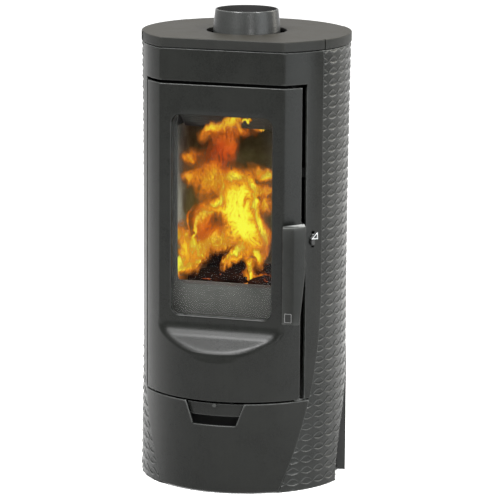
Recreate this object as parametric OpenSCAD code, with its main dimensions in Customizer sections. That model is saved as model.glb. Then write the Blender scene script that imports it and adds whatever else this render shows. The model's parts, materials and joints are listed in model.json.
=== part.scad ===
// Column room heater: a round wood stove with a flat-fronted loading door, textured side
// castings, an ash drawer in the plinth and a top flue outlet.
// Origin: on the floor, at the axis of the column. +Z is up and the door faces -Y.
// Azimuths are counted from the front (-Y) towards +X.

/* [Casing] */
// Radius of the smooth front castings
body_r = 231; // [225:1:240]
// How far the flat window face is set back from the round front
flat_set = 48; // [42:1:52]
// Wall of the smooth front castings
cast_t = 7; // [6:0.5:8]
// Height of the casing under the top plate
casing_h = 979.5; // [970:0.5:1000]
// Gap between neighbouring castings that stay put
seam = 0.6; // [0.4:0.1:1.2]

/* [Side castings] */
// How far a side casting stands proud at its top and foot
side_proud = 1; // [0:0.5:1.5]
// How much slimmer a side casting is at half height
side_waist = 4; // [0:0.5:6]
// Gap between a side casting and the base plate
side_base_gap = 1.5; // [0.5:0.5:2.5]
// Azimuth of the front edge in the straight upper part
side_front_az = 64; // [62:0.5:68]
// Azimuth of the front edge at the floor
side_front_foot_az = 36; // [35:0.5:40]
// Height where the front edge becomes straight
side_front_sweep_h = 453; // [380:1:520]
// Azimuth of the rear edge in the upper part
side_rear_az = 127; // [120:0.5:132]
// Azimuth of the rear edge at the floor
side_rear_foot_az = 80; // [76:0.5:86]
// Height where the rear edge becomes straight
side_rear_sweep_h = 477; // [420:1:540]

/* [Rear casing] */
// How far the rear sheet is set back from the round front
rear_set = 1; // [0:0.5:3]
// Thickness of the rear sheet
rear_t = 2.5; // [2:0.5:4]
// Azimuth of the straight front edge near the floor
rear_edge_az = 105; // [100:0.5:110]
// Depth of the folded edge of the rear sheet
rear_fold = 9; // [7:0.5:10]
// Width of a vent slot in the rear sheet
vent_w = 46; // [30:1:56]
// Height of a vent slot
vent_h = 7; // [5:0.5:10]
// Distance between two vent slots
vent_pitch = 18; // [14:1:24]
// Number of vent slots in one column
vent_rows = 5; // [3:1:6]
// Distance of the vent slots from the foot and the top of the sheet
vent_set = 100; // [60:1:160]

/* [Top plate] */
// Thickness of the rim of the top plate
plate_t = 22; // [18:0.5:26]
// Thickness of the top plate inside its rim
plate_web_t = 8; // [6:0.5:10]
// Gap between the casing and the top plate
plate_gap = 2; // [1.5:0.5:3]
// How far the top plate stands proud over the side castings
plate_side_lap = 2.5; // [2:0.5:6]
// How far the top plate stands proud of the front castings
plate_front_lap = 1; // [0:0.5:3]
// Radius of the hole around the flue collar
plate_hole_r = 89; // [80:0.5:95]

/* [Flue collar] */
// Radius of the seat for the flue pipe
flue_seat_r = 74.4; // [60:0.1:75]
// Length of the straight seat
flue_seat_len = 10; // [6:0.5:16]
// Radius of the collar at its rim
flue_rim_r = 70; // [55:0.5:72]
// Radius of the flue way
flue_bore_r = 66; // [50:0.5:66]
// Height of the collar above the top plate
flue_h = 47.5; // [35:0.5:70]
// Radius of the flange under the top plate
flue_flange_r = 96; // [92:0.5:105]
// Thickness of that flange
flue_flange_t = 6; // [5:0.5:8]
// Radius of the circle of flange screws
flue_screw_pcd_r = 84; // [82:0.5:86]

/* [Door] */
// Height of the top of the ash drawer front
drawer_top = 204; // [195:1:215]
// Height of the door
door_h = 696; // [680:1:700]
// Gap above and below the door
door_gap = 4; // [3:0.5:6]
// Azimuth of the hinge edge of the door
door_hinge_az = 52.9; // [52:0.1:53.5]
// Azimuth of the handle edge of the door
door_handle_az = 49; // [48:0.1:50]
// Azimuth of the frame at the hinge edge
frame_hinge_az = 54.2; // [53.9:0.1:55]
// Azimuth of the frame at the handle edge
frame_handle_az = 52.1; // [51.8:0.1:53]
// Wall of the door casting
door_t = 8; // [7:0.5:9]
// Height where the flat face begins to curve out into the ledge
scoop_top = 380; // [370:1:381]
// Radius of the hollow above the ledge
scoop_r = 45; // [35:1:55]
// Radius of the lip of the ledge
lip_r = 16; // [10:1:20]
// Angle between the ledge and the flat face
ledge_turn = 48; // [44:1:52]
// Height of the rib that carries the door rope
door_rib_t = 6; // [5:0.5:7]

/* [Window] */
// Distance between the round front and the sides of the window
window_side_set = 116; // [115:1:124]
// Height of the window opening
window_h = 446; // [420:1:450]
// Height of the lower edge of the window
window_z = 388; // [386:1:395]
// Corner radius of the window opening
window_corner_r = 20; // [12:1:30]
// Chamfer around the window opening
window_bevel = 3; // [2:0.5:4]
// Overlap of the glass behind the opening
glass_lap = 8; // [6:0.5:9]
// Thickness of the ceramic glass
glass_t = 4; // [3:0.5:5]
// Thickness of the flat seal between glass and door
seal_t = 1.5; // [1:0.5:2]

/* [Hinge and latch] */
// How far the door hinge axis is set back from the round front
hinge_set = 17; // [16:0.5:19]
// Azimuth of the door hinge axis, on the left
hinge_az = 48.5; // [48:0.1:49]
// Radius of a hinge pin
hinge_pin_r = 4; // [3:0.5:5]
// Radius of a hinge knuckle
knuckle_r = 8.5; // [8:0.5:9]
// Height of one hinge knuckle
knuckle_h = 20; // [14:1:28]
// Heights of the two hinges
hinge_low_z = 262; // [240:1:300]
hinge_high_z = 820; // [760:1:830]
// Running clearance of a pin in its knuckle
pin_clearance = 0.05; // [0.02:0.01:0.1]
// Clearance between parts that slide or turn past each other
slide_clearance = 0.6; // [0.4:0.1:1]

/* [Handle] */
// Height of the lower end of the handle
handle_z = 386; // [380:1:400]
// Length of the handle bar
handle_len = 218; // [200:1:220]
// How far the front of the bar is set back from the round front
handle_set = 23; // [19:1:27]
// Width of the front face of the bar
handle_face_w = 26; // [20:0.5:28]
// Depth of the bar
handle_depth = 20; // [16:0.5:22]
// Height of the part of the bar that narrows towards its lower end
handle_taper_h = 120; // [60:1:160]
// Thickness of the arm that passes the door gap
arm_t = 4.5; // [4:0.5:5]
// Length of the arm along the bar
arm_h = 130; // [110:1:140]
// Radius of the handle pin
handle_pin_r = 3; // [2.5:0.5:3.5]
// Radius of the hub on the handle pin
hub_r = 6.5; // [6:0.5:7]

/* [Secondary air control] */
// Azimuth of the slot in the right stile
lever_az = 57; // [56.5:0.5:58]
// Height of the middle of the slot
lever_z = 565; // [540:1:620]
// Width of the slot
lever_slot_w = 8; // [7:0.5:9]
// Height of the slot
lever_slot_h = 36; // [32:1:44]
// Travel of the knob
lever_travel = 14; // [8:1:16]

/* [Drawer and primary air control] */
// Clearance between the drawer front and the floor
drawer_foot = 4; // [3:0.5:6]
// Width of the notch at its top
notch_w = 135; // [120:1:150]
// Width of the notch at its bottom
notch_foot_w = 98; // [80:1:110]
// Depth of the notch
notch_h = 50; // [44:1:56]
// Height of the lip of the air slide
air_lip_h = 28; // [24:1:30]
// Travel of the air slide from closed to open
air_travel = 23; // [21:1:25]
// Length of the air slots
air_slot_len = 20; // [14:1:20]
// Gap between the ash pan and the side walls of the firebox shell
pan_side_gap = 28; // [20:1:40]
// Gap between the ash pan and the back wall of the firebox shell
pan_back_gap = 34; // [10:1:60]
// Height of the ash pan
pan_h = 140; // [100:1:142]
// Sheet of the ash pan
pan_t = 2; // [1.5:0.5:3]

/* [Firebox] */
// Distance between the door hinge axis and the side wall of the firebox
hinge_wall_gap = 10.3; // [9.5:0.1:20]
// Distance between the flat front and the front plate of the firebox
box_front_set = 33; // [31:0.5:34]
// Distance between the round front and the back wall of the firebox
box_back_set = 75; // [70:1:90]
// Steel of the firebox
box_t = 4; // [3:0.5:5]
// Height of the top of the firebox
box_top = 958; // [950:1:960]
// How much narrower the firebox mouth is than the window, on each side
mouth_lap = 3; // [2:1:12]
// Height of the lower edge of the mouth
mouth_z = 452; // [445:1:470]
// Height of the mouth
mouth_h = 386; // [340:1:388]
// Corner radius of the mouth
mouth_corner_r = 20; // [12:1:26]
// Height of the grate floor
floor_z = 392; // [385:1:400]
// Thickness of the lining bricks
brick_t = 25; // [20:1:28]
// Height of the lining bricks
brick_h = 404; // [380:1:410]
// Gap between the grate and the side bricks
grate_gap = 31; // [26:1:45]
// Thickness of the grate
grate_t = 10; // [8:0.5:12]
// Number of slots in the grate
grate_slots = 9; // [5:1:9]
// Length of the open gap in front of the baffle brick
baffle_gap = 84; // [60:1:110]
// Distance of the upper baffle from the top of the firebox
baffle_plate_set = 78; // [60:1:100]
// Length of the open gap behind the upper baffle
baffle_plate_gap = 82; // [60:1:110]
// How far the ash chute stands out around the grate
chute_lap = 5; // [2:1:7]

/* [Base] */
// Thickness of the base plate and of the support ring
base_t = 6; // [4:0.5:8]
// How far the base plate and the support ring are set back from the round front
base_set = 11; // [10:0.5:14]

/* [Hidden] */
$fn = 96;
far = 400;
eps = 0.01;
bolt_r = 3;

flat_d = body_r - flat_set;
base_r = body_r - base_set;
side_r = body_r + side_proud;
side_in_r = base_r + side_base_gap;
rear_r = body_r - rear_set;
plate_side_r = body_r + plate_side_lap;
hinge_r = body_r - hinge_set;
handle_front = body_r - handle_set;
hinge = at(hinge_r, -hinge_az);
// Rounded to whole tenths, so that neighbouring faces share one coordinate
box_w = round(-10 * (hinge.x + hinge_wall_gap)) / 5;
box_front = flat_d - box_front_set;
box_back = body_r - box_back_set;
box_in_w = box_w - 2 * box_t;
box_in_back = box_back - box_t;
cavity_w = box_in_w - 2 * brick_t;
grate_w = cavity_w - 2 * grate_gap;
chute_w = grate_w + 2 * chute_lap;
window_w = 2 * (body_r - window_side_set);
mouth_w = window_w - 2 * mouth_lap;

door_z = drawer_top + door_gap;
door_top = door_z + door_h;
header_z = door_top + door_gap;
plate_z = casing_h + plate_gap;
top_z = plate_z + plate_t;
ring_z = plate_z - base_t;

door_back = flat_d - door_t;
ledge_depth = body_r - flat_d - (scoop_r + lip_r) * (1 - cos(ledge_turn));
ledge_len = ledge_depth / sin(ledge_turn);
lip_end_z = scoop_top - (scoop_r + lip_r) * sin(ledge_turn) - ledge_len * cos(ledge_turn);
window_mid = window_z + window_h / 2;
glass_w = window_w + 2 * glass_lap;
glass_h = window_h + 2 * glass_lap;
glass_front = door_back - seal_t;
glass_back = glass_front - glass_t;
rope_w = 8;
rope_d = 7.6;
rib_out_w = glass_w + 28;
rib_out_h = glass_h + 28;
rib_back = box_front + rope_d + 0.4;
clip_t = 2.5;
// Radius that the hinge edge of the door sweeps, and the relief in the frame around it
edge_point = at(body_r, -door_hinge_az);
edge_sweep_r = norm(edge_point - hinge);
relief_r = edge_sweep_r + slide_clearance;

handle_top = handle_z + handle_len;
door_edge = at(body_r, door_handle_az);
handle_pin = door_edge + [-8.3, 23.55];
lug_h = 10;
arm_z = handle_top - arm_h;
hub_z = arm_z + lug_h + 3;
hub_h = arm_h - 2 * (lug_h + 3);
arm_turn = 61;
arm_gap = handle_pin + 22 * [cos(arm_turn), -sin(arm_turn)];
keeper_y = handle_pin.y + 10;
keeper_z = hub_z + 1;
keeper_h = 36;
hook_z = keeper_z + 5;
hook_h = 26;

lever_gap = 1.2;
lip_r_out = body_r - cast_t;
lip_t = 3;
lip_z = drawer_top - 2;
tongue_z = lip_z - 9;
tongue_t = 3;
tongue_w = 60;
bay_top = door_z - 6;
bay_t = 4;
air_slot_w = 10;
air_slot_pitch = 18;
air_slot_y = -box_front + 10;
tongue_back = air_slot_y + air_travel + air_slot_len + 4;

pan_z = base_t + 22;
pan_front = flat_d - 11;
pan_w = box_in_w - 2 * pan_side_gap;
pan_len = pan_front + box_in_back - pan_back_gap;

collar_z = box_top;
collar_top = top_z + flue_h;
brick_z = floor_z + box_t;
brick_top = brick_z + brick_h;
baffle_z = box_top - baffle_plate_set;

cast_colour = "#3a3c3d";
steel_colour = "#55585a";
dark_colour = "#2a2b2c";
bright_colour = "#9a9c9e";
brick_colour = "#b8a77f";

// ---- helpers ----

// Point at azimuth a on a circle of radius r
function at(r, a) = [r * sin(a), -r * cos(a)];

// Azimuths of the swept edges of a side casting at height z
function front_az(z) = let(s = max(0, 1 - z / side_front_sweep_h))
    side_front_az - (side_front_az - side_front_foot_az) * s * s;
function rear_az(z) = let(s = min(1, z / side_rear_sweep_h))
    side_rear_foot_az + (side_rear_az - side_rear_foot_az) * (1 - cos(180 * s)) / 2;

// Plan-view fan between two azimuths
module fan(a0, a1) {
    steps = max(1, ceil((a1 - a0) / 15));
    polygon(concat([[0, 0]], [for (i = [0:steps]) at(far, a0 + (a1 - a0) * i / steps)]));
}

// Ring of a tube
module tube(r_out, r_in, z0, z1) {
    translate([0, 0, z0]) difference() {
        cylinder(r = r_out, h = z1 - z0);
        translate([0, 0, -1]) cylinder(r = r_in, h = z1 - z0 + 2);
    }
}

// Extrudes a [y, z] polygon along +X from x0 to x1
module along_x(points, x0 = -far, x1 = far) {
    translate([x0, 0, 0]) rotate([90, 0, 90]) linear_extrude(x1 - x0) polygon(points);
}

// Extrudes an [x, z] shape backwards from y0 to y1
module along_y(y0, y1) {
    translate([0, y1, 0]) rotate([90, 0, 0]) linear_extrude(y1 - y0) children();
}

// Everything in front of the swept front edge, moved back by gap
module before_edge(gap = 0, top = 1100) {
    levels = [for (i = [0:14]) side_front_sweep_h * i / 14];
    along_x(concat([[-far, -1], [-body_r * cos(side_front_foot_az) + gap, -1]],
                   [for (z = levels) [-body_r * cos(front_az(z)) + gap, z]],
                   [[-body_r * cos(side_front_az) + gap, top], [-far, top]]));
}

// Everything in front of the rear edge of the side castings, moved back by gap
module before_rear(gap = 0, limit_az = 0, top = 1100) {
    levels = [for (i = [0:18]) side_rear_sweep_h * i / 18];
    along_x(concat([[-far, -1]],
                   [for (z = levels) [-body_r * cos(max(limit_az, rear_az(z))) + gap, z]],
                   [[-body_r * cos(side_rear_az) + gap, top], [-far, top]]));
}

module box(x0, x1, y0, y1, z0, z1) {
    translate([x0, y0, z0]) cube([x1 - x0, y1 - y0, z1 - z0]);
}

// Rectangle with round corners, centred on x, standing on z0
module round_window(w, h, z0, r) {
    translate([0, z0 + h / 2]) {
        square([w - 2 * r, h], center = true);
        square([w, h - 2 * r], center = true);
        for (sx = [-1, 1], sz = [-1, 1])
            translate([sx * (w / 2 - r), sz * (h / 2 - r)]) circle(r = r);
    }
}

// Screw with a low round head, pointing along +Z with its head below
module screw(r, len, head_r, head_h) {
    translate([0, 0, -head_h]) cylinder(r = head_r, h = head_h, $fn = 32);
    translate([0, 0, -eps]) cylinder(r = r, h = len + eps, $fn = 32);
}

// ---- base and casing ----

module base_plate() {
    color(dark_colour) cylinder(r = base_r, h = base_t);
}

module side_wall() {
    rows = 12;
    half = casing_h / 2;
    outline = [for (i = [0:rows]) let(z = casing_h * i / rows, s = (z - half) / half)
               [side_r - side_waist * (1 - s * s), z]];
    intersection() {
        difference() {
            rotate_extrude() polygon(concat([[side_in_r, 0]], outline, [[side_in_r, casing_h]]));
            before_edge(seam);
        }
        before_rear();
        box(0, far, -far, far, -1, casing_h + 1);
    }
}

module side_casting_right() {
    color(cast_colour) side_wall();
}

module side_casting_left() {
    color(cast_colour) mirror([1, 0, 0]) side_wall();
}

module rear_casing() {
    vent_azimuths = [150, 180, 210];
    color(dark_colour) difference() {
        tube(rear_r, rear_r - rear_fold, 0, casing_h - 1);
        before_rear(seam, rear_edge_az);
        difference() {
            translate([0, 0, -1]) cylinder(r = rear_r - rear_t, h = casing_h + 2);
            before_rear(seam + rear_t, rear_edge_az);
        }
        for (a = vent_azimuths, i = [0:vent_rows - 1],
             group_z = [vent_set, casing_h - vent_set - vent_pitch * (vent_rows - 1)])
            rotate(a) translate([-vent_w / 2, -rear_r - 5, group_z + vent_pitch * i])
                cube([vent_w, rear_fold + 10, vent_h]);
    }
}

// Front casting wall between two radii, flattened in front
module front_wall(r_out, r_in, front, back, z0, z1) {
    difference() {
        intersection() {
            translate([0, 0, z0]) cylinder(r = r_out, h = z1 - z0);
            box(-far, far, -front, far, z0, z1);
        }
        intersection() {
            translate([0, 0, z0 - 1]) cylinder(r = r_in, h = z1 - z0 + 2);
            box(-far, far, -back, far, z0 - 1, z1 + 1);
        }
    }
}

module front_frame() {
    in_r = body_r - cast_t;
    slot_gap = 30;
    color(cast_colour) difference() {
        intersection() {
            front_wall(body_r, in_r, flat_d, flat_d - cast_t, door_z, casing_h);
            before_edge();
        }
        // door opening
        translate([0, 0, door_z - 1]) linear_extrude(header_z - door_z + 1)
            fan(-frame_hinge_az, frame_handle_az);
        // relief for the hinge edge of the door
        translate([hinge.x, hinge.y, door_z - 1])
            cylinder(r = relief_r, h = header_z - door_z + 1);
        // slot of the secondary air control
        rotate(lever_az) translate([-lever_slot_w / 2, -body_r - 5, lever_z - lever_slot_h / 2])
            cube([lever_slot_w, slot_gap, lever_slot_h]);
    }
}

// ---- top ----

module plate_outline(front, side, rear, flat) {
    intersection() {
        union() {
            circle(r = rear);
            intersection() {
                circle(r = side);
                union() {
                    fan(side_front_az, side_rear_az);
                    fan(-side_rear_az, -side_front_az);
                }
            }
            intersection() {
                circle(r = front);
                fan(-side_front_az - 1, side_front_az + 1);
            }
        }
        translate([-far, -flat]) square([2 * far, 2 * far]);
    }
}

module top_plate() {
    pocket_r = base_r - 8;
    groove = 1.4;
    color(cast_colour) difference() {
        translate([0, 0, plate_z]) linear_extrude(plate_t)
            plate_outline(body_r + plate_front_lap, plate_side_r, rear_r + 1,
                          flat_d + plate_front_lap);
        intersection() {
            translate([0, 0, plate_z - 1]) cylinder(r = pocket_r, h = plate_t - plate_web_t + 1);
            box(-far, far, -flat_d + 16, far, plate_z - 1, top_z);
        }
        translate([0, 0, plate_z - 1]) cylinder(r = plate_hole_r, h = plate_t + 2);
        for (s = [-1, 1])
            rotate(s * (side_front_az + 0.5))
                translate([-groove / 2, -far, plate_z - 1])
                    cube([groove, far - body_r + groove / 2, plate_t + 2]);
    }
}

module flue_collar() {
    seat_z = top_z + 1;
    color(cast_colour) difference() {
        union() {
            translate([0, 0, collar_z]) cylinder(r = flue_flange_r, h = flue_flange_t);
            rotate_extrude() polygon([[flue_bore_r - 2, collar_z], [flue_seat_r, collar_z],
                                      [flue_seat_r, seat_z + flue_seat_len],
                                      [flue_rim_r, collar_top], [flue_bore_r - 2, collar_top]]);
        }
        translate([0, 0, collar_z - 1]) cylinder(r = flue_bore_r, h = collar_top - collar_z + 2);
        for (a = [45:90:315])
            rotate(a) translate([flue_screw_pcd_r, 0, collar_z - 1])
                cylinder(r = bolt_r + 0.5, h = flue_flange_t + 2, $fn = 32);
    }
}

module collar_screws() {
    color(bright_colour) for (a = [45:90:315])
        rotate(a) translate([flue_screw_pcd_r, 0, collar_z + flue_flange_t])
            mirror([0, 0, 1]) screw(bolt_r, flue_flange_t + box_t, 5.5, 4);
}

module support_ring() {
    window = box_w / 2 - 34;
    color(steel_colour) translate([0, 0, ring_z]) difference() {
        intersection() {
            cylinder(r = base_r, h = base_t);
            translate([-far, -flat_d + cast_t, -1]) cube([2 * far, 2 * far, base_t + 2]);
        }
        translate([-window, -window, -1]) cube([2 * window, 2 * window, base_t + 2]);
        for (p = spacer_places())
            translate([p.x, p.y, -1]) cylinder(r = bolt_r + 0.2, h = base_t + 2, $fn = 32);
    }
}

function spacer_places() = let(x = box_w / 2 - 16, y = box_in_back - 16)
    [[-x, -y], [x, -y], [-x, y], [x, y]];

module ring_spacers() {
    color(bright_colour) for (p = spacer_places()) translate([p.x, p.y, 0]) {
        tube(9, bolt_r + 0.2, box_top, ring_z);
        translate([0, 0, box_top - box_t - 4]) cylinder(r = bolt_r, h = plate_z - box_top + 10);
        translate([0, 0, plate_z]) cylinder(r = 5.5, h = 4, $fn = 6);
    }
}

// ---- firebox ----

module firebox_shell() {
    color(steel_colour) difference() {
        box(-box_w / 2, box_w / 2, -box_front + box_t, box_back, base_t, box_top - box_t);
        box(-box_in_w / 2, box_in_w / 2, -far, box_in_back, base_t - 1, box_top);
    }
}

module firebox_front() {
    color(steel_colour) difference() {
        along_y(-box_front, -box_front + box_t)
            translate([-box_w / 2, bay_top]) square([box_w, box_top - box_t - bay_top]);
        along_y(-box_front - 1, -box_front + box_t + 1)
            round_window(mouth_w, mouth_h, mouth_z, mouth_corner_r);
    }
}

module firebox_top() {
    color(steel_colour) difference() {
        box(-box_w / 2, box_w / 2, -box_front, box_back, box_top - box_t, box_top);
        translate([0, 0, box_top - box_t - 1]) cylinder(r = flue_bore_r, h = box_t + 2);
        for (a = [45:90:315])
            rotate(a) translate([flue_screw_pcd_r, 0, box_top - box_t - 1])
                cylinder(r = bolt_r, h = box_t + 2, $fn = 32);
        for (p = spacer_places())
            translate([p.x, p.y, box_top - box_t - 1])
                cylinder(r = bolt_r, h = box_t + 2, $fn = 32);
    }
}

module firebox_floor() {
    hole_w = grate_w - 16;
    seat_w = grate_w + 2;
    color(steel_colour) difference() {
        box(-box_in_w / 2, box_in_w / 2, -box_front + box_t, box_in_back,
            floor_z - box_t, floor_z + box_t);
        box(-seat_w / 2, seat_w / 2, -seat_w / 2, seat_w / 2, floor_z, floor_z + box_t + 1);
        box(-hole_w / 2, hole_w / 2, -hole_w / 2, hole_w / 2, floor_z - box_t - 1, floor_z + 1);
    }
}

module side_brick() {
    front = box_front - 26;
    box(cavity_w / 2, box_in_w / 2, -front, box_in_back - brick_t, brick_z, brick_top);
}

module brick_right() {
    color(brick_colour) side_brick();
}

module brick_left() {
    color(brick_colour) mirror([1, 0, 0]) side_brick();
}

module brick_back() {
    color(brick_colour)
        box(-box_in_w / 2, box_in_w / 2, box_in_back - brick_t, box_in_back,
            brick_z, brick_top);
}

module grate() {
    slot_len = grate_w - 36;
    slot_w = 8;
    pitch = (grate_w - 28) / grate_slots;
    color(dark_colour) difference() {
        box(-grate_w / 2, grate_w / 2, -grate_w / 2, grate_w / 2, floor_z, floor_z + grate_t);
        for (i = [0:grate_slots - 1])
            translate([(i - (grate_slots - 1) / 2) * pitch, 0, floor_z - 1])
                translate([-slot_w / 2, -slot_len / 2, 0])
                    cube([slot_w, slot_len, grate_t + 2]);
    }
}

module log_guard() {
    back = box_front - box_t;
    color(dark_colour) {
        box(-mouth_w / 2 + 4, mouth_w / 2 - 4, -back, -back + 6, brick_z, mouth_z + 6);
        for (s = [-1, 1])
            box(s * 80 - 4, s * 80 + 4, -back + 6, -back + 22, brick_z, brick_z + 20);
    }
}

module baffle_brick() {
    color(brick_colour)
        box(-box_in_w / 2 + 1, box_in_w / 2 - 1, -box_front + box_t + baffle_gap,
            box_in_back - 1, brick_top, brick_top + brick_t);
}

module baffle_plate() {
    color(steel_colour)
        box(-box_in_w / 2 + 1, box_in_w / 2 - 1, -box_front + box_t + 1,
            box_in_back - baffle_plate_gap, baffle_z, baffle_z + box_t);
}

module baffle_rests() {
    ledge = 14;
    color(steel_colour) for (s = [-1, 1]) scale([s, 1, 1])
        box(box_in_w / 2 - ledge, box_in_w / 2, -box_front + box_t + 16,
            box_in_back - baffle_plate_gap - 10, baffle_z - 6, baffle_z);
}

module air_wash_deflector() {
    top = mouth_z + mouth_h - 2;
    fall = 34;
    reach = 40;
    sheet = 3;
    front = -box_front + box_t;
    wide = mouth_w / 2 - 4;
    color(dark_colour) {
        along_x([[front, top], [front, top - sheet], [front + reach, top - fall - sheet],
                 [front + reach, top - fall]], -wide, wide);
        for (s = [-1, 1]) scale([s, 1, 1])
            along_x([[front, top - sheet], [front + reach, top - fall - sheet],
                     [front + reach, top]], wide - sheet, wide);
        box(-wide, wide, front, front + reach, top - 0.1, top + sheet);
    }
}

module ash_chute() {
    wall = 2;
    out = chute_w / 2;
    color(steel_colour) difference() {
        box(-out, out, -out, out, bay_top, floor_z - box_t);
        box(-out + wall, out - wall, -out + wall, out - wall, bay_top - 1, floor_z);
    }
}

// Air slots over the width of the tongue, from y on
module air_slots(y, z, h) {
    for (x = [-air_slot_pitch, 0, air_slot_pitch])
        box(x - air_slot_w / 2, x + air_slot_w / 2, y, y + air_slot_len, z - 1, z + h + 1);
}

module air_shelf() {
    hole = chute_w / 2 - 2;
    color(steel_colour) difference() {
        box(-box_in_w / 2, box_in_w / 2, -box_front + box_t, box_in_back,
            bay_top - bay_t, bay_top);
        box(-hole, hole, -hole, hole, bay_top - bay_t - 1, bay_top + 1);
        air_slots(air_slot_y, bay_top - bay_t, bay_t);
    }
}

module slide_guides() {
    in_w = tongue_w / 2 + slide_clearance;
    foot = tongue_z - slide_clearance;
    color(bright_colour) for (s = [-1, 1]) scale([s, 1, 1]) {
        box(in_w - 5, in_w + 7, -box_front + 8, tongue_back, foot - 2, foot);
        box(in_w, in_w + 7, -box_front + 8, tongue_back, foot - 0.1, bay_top - bay_t);
    }
}

module drawer_runners() {
    front = -box_front + box_t + 6;
    back = box_in_back - pan_back_gap;
    rest_z = pan_z - 0.3;
    color(steel_colour) for (s = [-1, 1]) scale([s, 1, 1]) {
        box(pan_w / 2 - 14, pan_w / 2 + 6, front, back, base_t, rest_z);
        box(pan_w / 2 + 2, pan_w / 2 + 6, front, back, rest_z, rest_z + 14);
    }
}

// ---- hinges, keeper ----

module hinge_brackets() {
    arm = -box_w / 2 - hinge.x;
    color(steel_colour) for (z = [hinge_low_z, hinge_high_z])
        translate([hinge.x, hinge.y, z]) difference() {
            union() {
                cylinder(r = knuckle_r, h = knuckle_h);
                translate([0, -4, 0]) cube([arm, 11, knuckle_h]);
            }
            translate([0, 0, -1]) cylinder(r = hinge_pin_r, h = knuckle_h + 2);
        }
}

module hinge_pins() {
    color(bright_colour) for (z = [hinge_low_z, hinge_high_z])
        translate([hinge.x, hinge.y, z])
            cylinder(r = hinge_pin_r, h = 2 * knuckle_h + slide_clearance);
}

module latch_keeper() {
    color(steel_colour) difference() {
        intersection() {
            box(handle_pin.x + 12.5, far, keeper_y, keeper_y + 10, keeper_z, keeper_z + keeper_h);
            cylinder(r = body_r - cast_t, h = casing_h);
        }
        keeper_bores(bolt_r, 11, -0.5);
    }
}

module keeper_bores(r, len, start) {
    for (z = [keeper_z + 9, keeper_z + keeper_h - 9])
        translate([handle_pin.x + 17.5, keeper_y + start, z]) rotate([-90, 0, 0])
            cylinder(r = r, h = len, $fn = 32);
}

module keeper_screws() {
    color(bright_colour) {
        keeper_bores(bolt_r, 9, 0);
        keeper_bores(4.5, 3, -3);
    }
}

// Angle pieces that hold the castings and the rear sheet to the base and to the ring
module casing_clip(az, r, z) {
    clip_w = 26;
    clip_h = 20;
    intersection() {
        tube(r, base_r - 14, z, z + clip_h);
        rotate(az) translate([-clip_w / 2, -far, z]) cube([clip_w, far, clip_h]);
    }
}

module casing_clips() {
    rear_in = rear_r - rear_t;
    frame_in = body_r - cast_t;
    top = ring_z - 20;
    color(steel_colour) {
        for (s = [-1, 1]) {
            casing_clip(s * 60, side_in_r, base_t);
            casing_clip(s * 59, frame_in, top);
            for (az = [78, 112]) casing_clip(s * az, side_in_r, top);
            casing_clip(s * 145, rear_in, top);
            casing_clip(s * 120, rear_in, base_t);
        }
        casing_clip(180, rear_in, base_t);
    }
}

module frame_brackets() {
    back = -hinge.y - 38;
    depth = 8;
    height = 20;
    color(steel_colour) for (s = [-1, 1], z = [keeper_z - 30, keeper_z + 212])
        scale([s, 1, 1]) intersection() {
            box(box_w / 2, far, -back - depth, -back, z, z + height);
            cylinder(r = body_r - cast_t, h = casing_h);
        }
}

// ---- door ----

// Body that fills the door out to its outer face, moved in by t
module door_body(t) {
    steps = 8;
    hollow = [for (i = [0:steps]) let(a = ledge_turn * i / steps)
              [-flat_d - scoop_r * (1 - cos(a)) + t, scoop_top - t - scoop_r * sin(a)]];
    lip = [for (i = [0:steps]) let(a = ledge_turn * (1 - i / steps))
           [-body_r + lip_r * (1 - cos(a)) + t, lip_end_z - t + lip_r * sin(a)]];
    intersection() {
        translate([0, 0, door_z - 1]) cylinder(r = body_r - t, h = door_h + 2);
        union() {
            box(-far, far, -flat_d + t, far, door_z - 1, door_top + 1);
            along_x(concat([[0, door_z - 1], [0, scoop_top - t]], hollow, lip,
                           [[-body_r + t, door_z - 1]]));
        }
    }
}

module door_fan(z0, z1) {
    translate([0, 0, z0]) linear_extrude(z1 - z0) fan(-door_hinge_az, door_handle_az);
}

module window_frame(w, h, r, y0, y1) {
    along_y(y0, y1) round_window(w, h, window_mid - h / 2, r);
}

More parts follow.
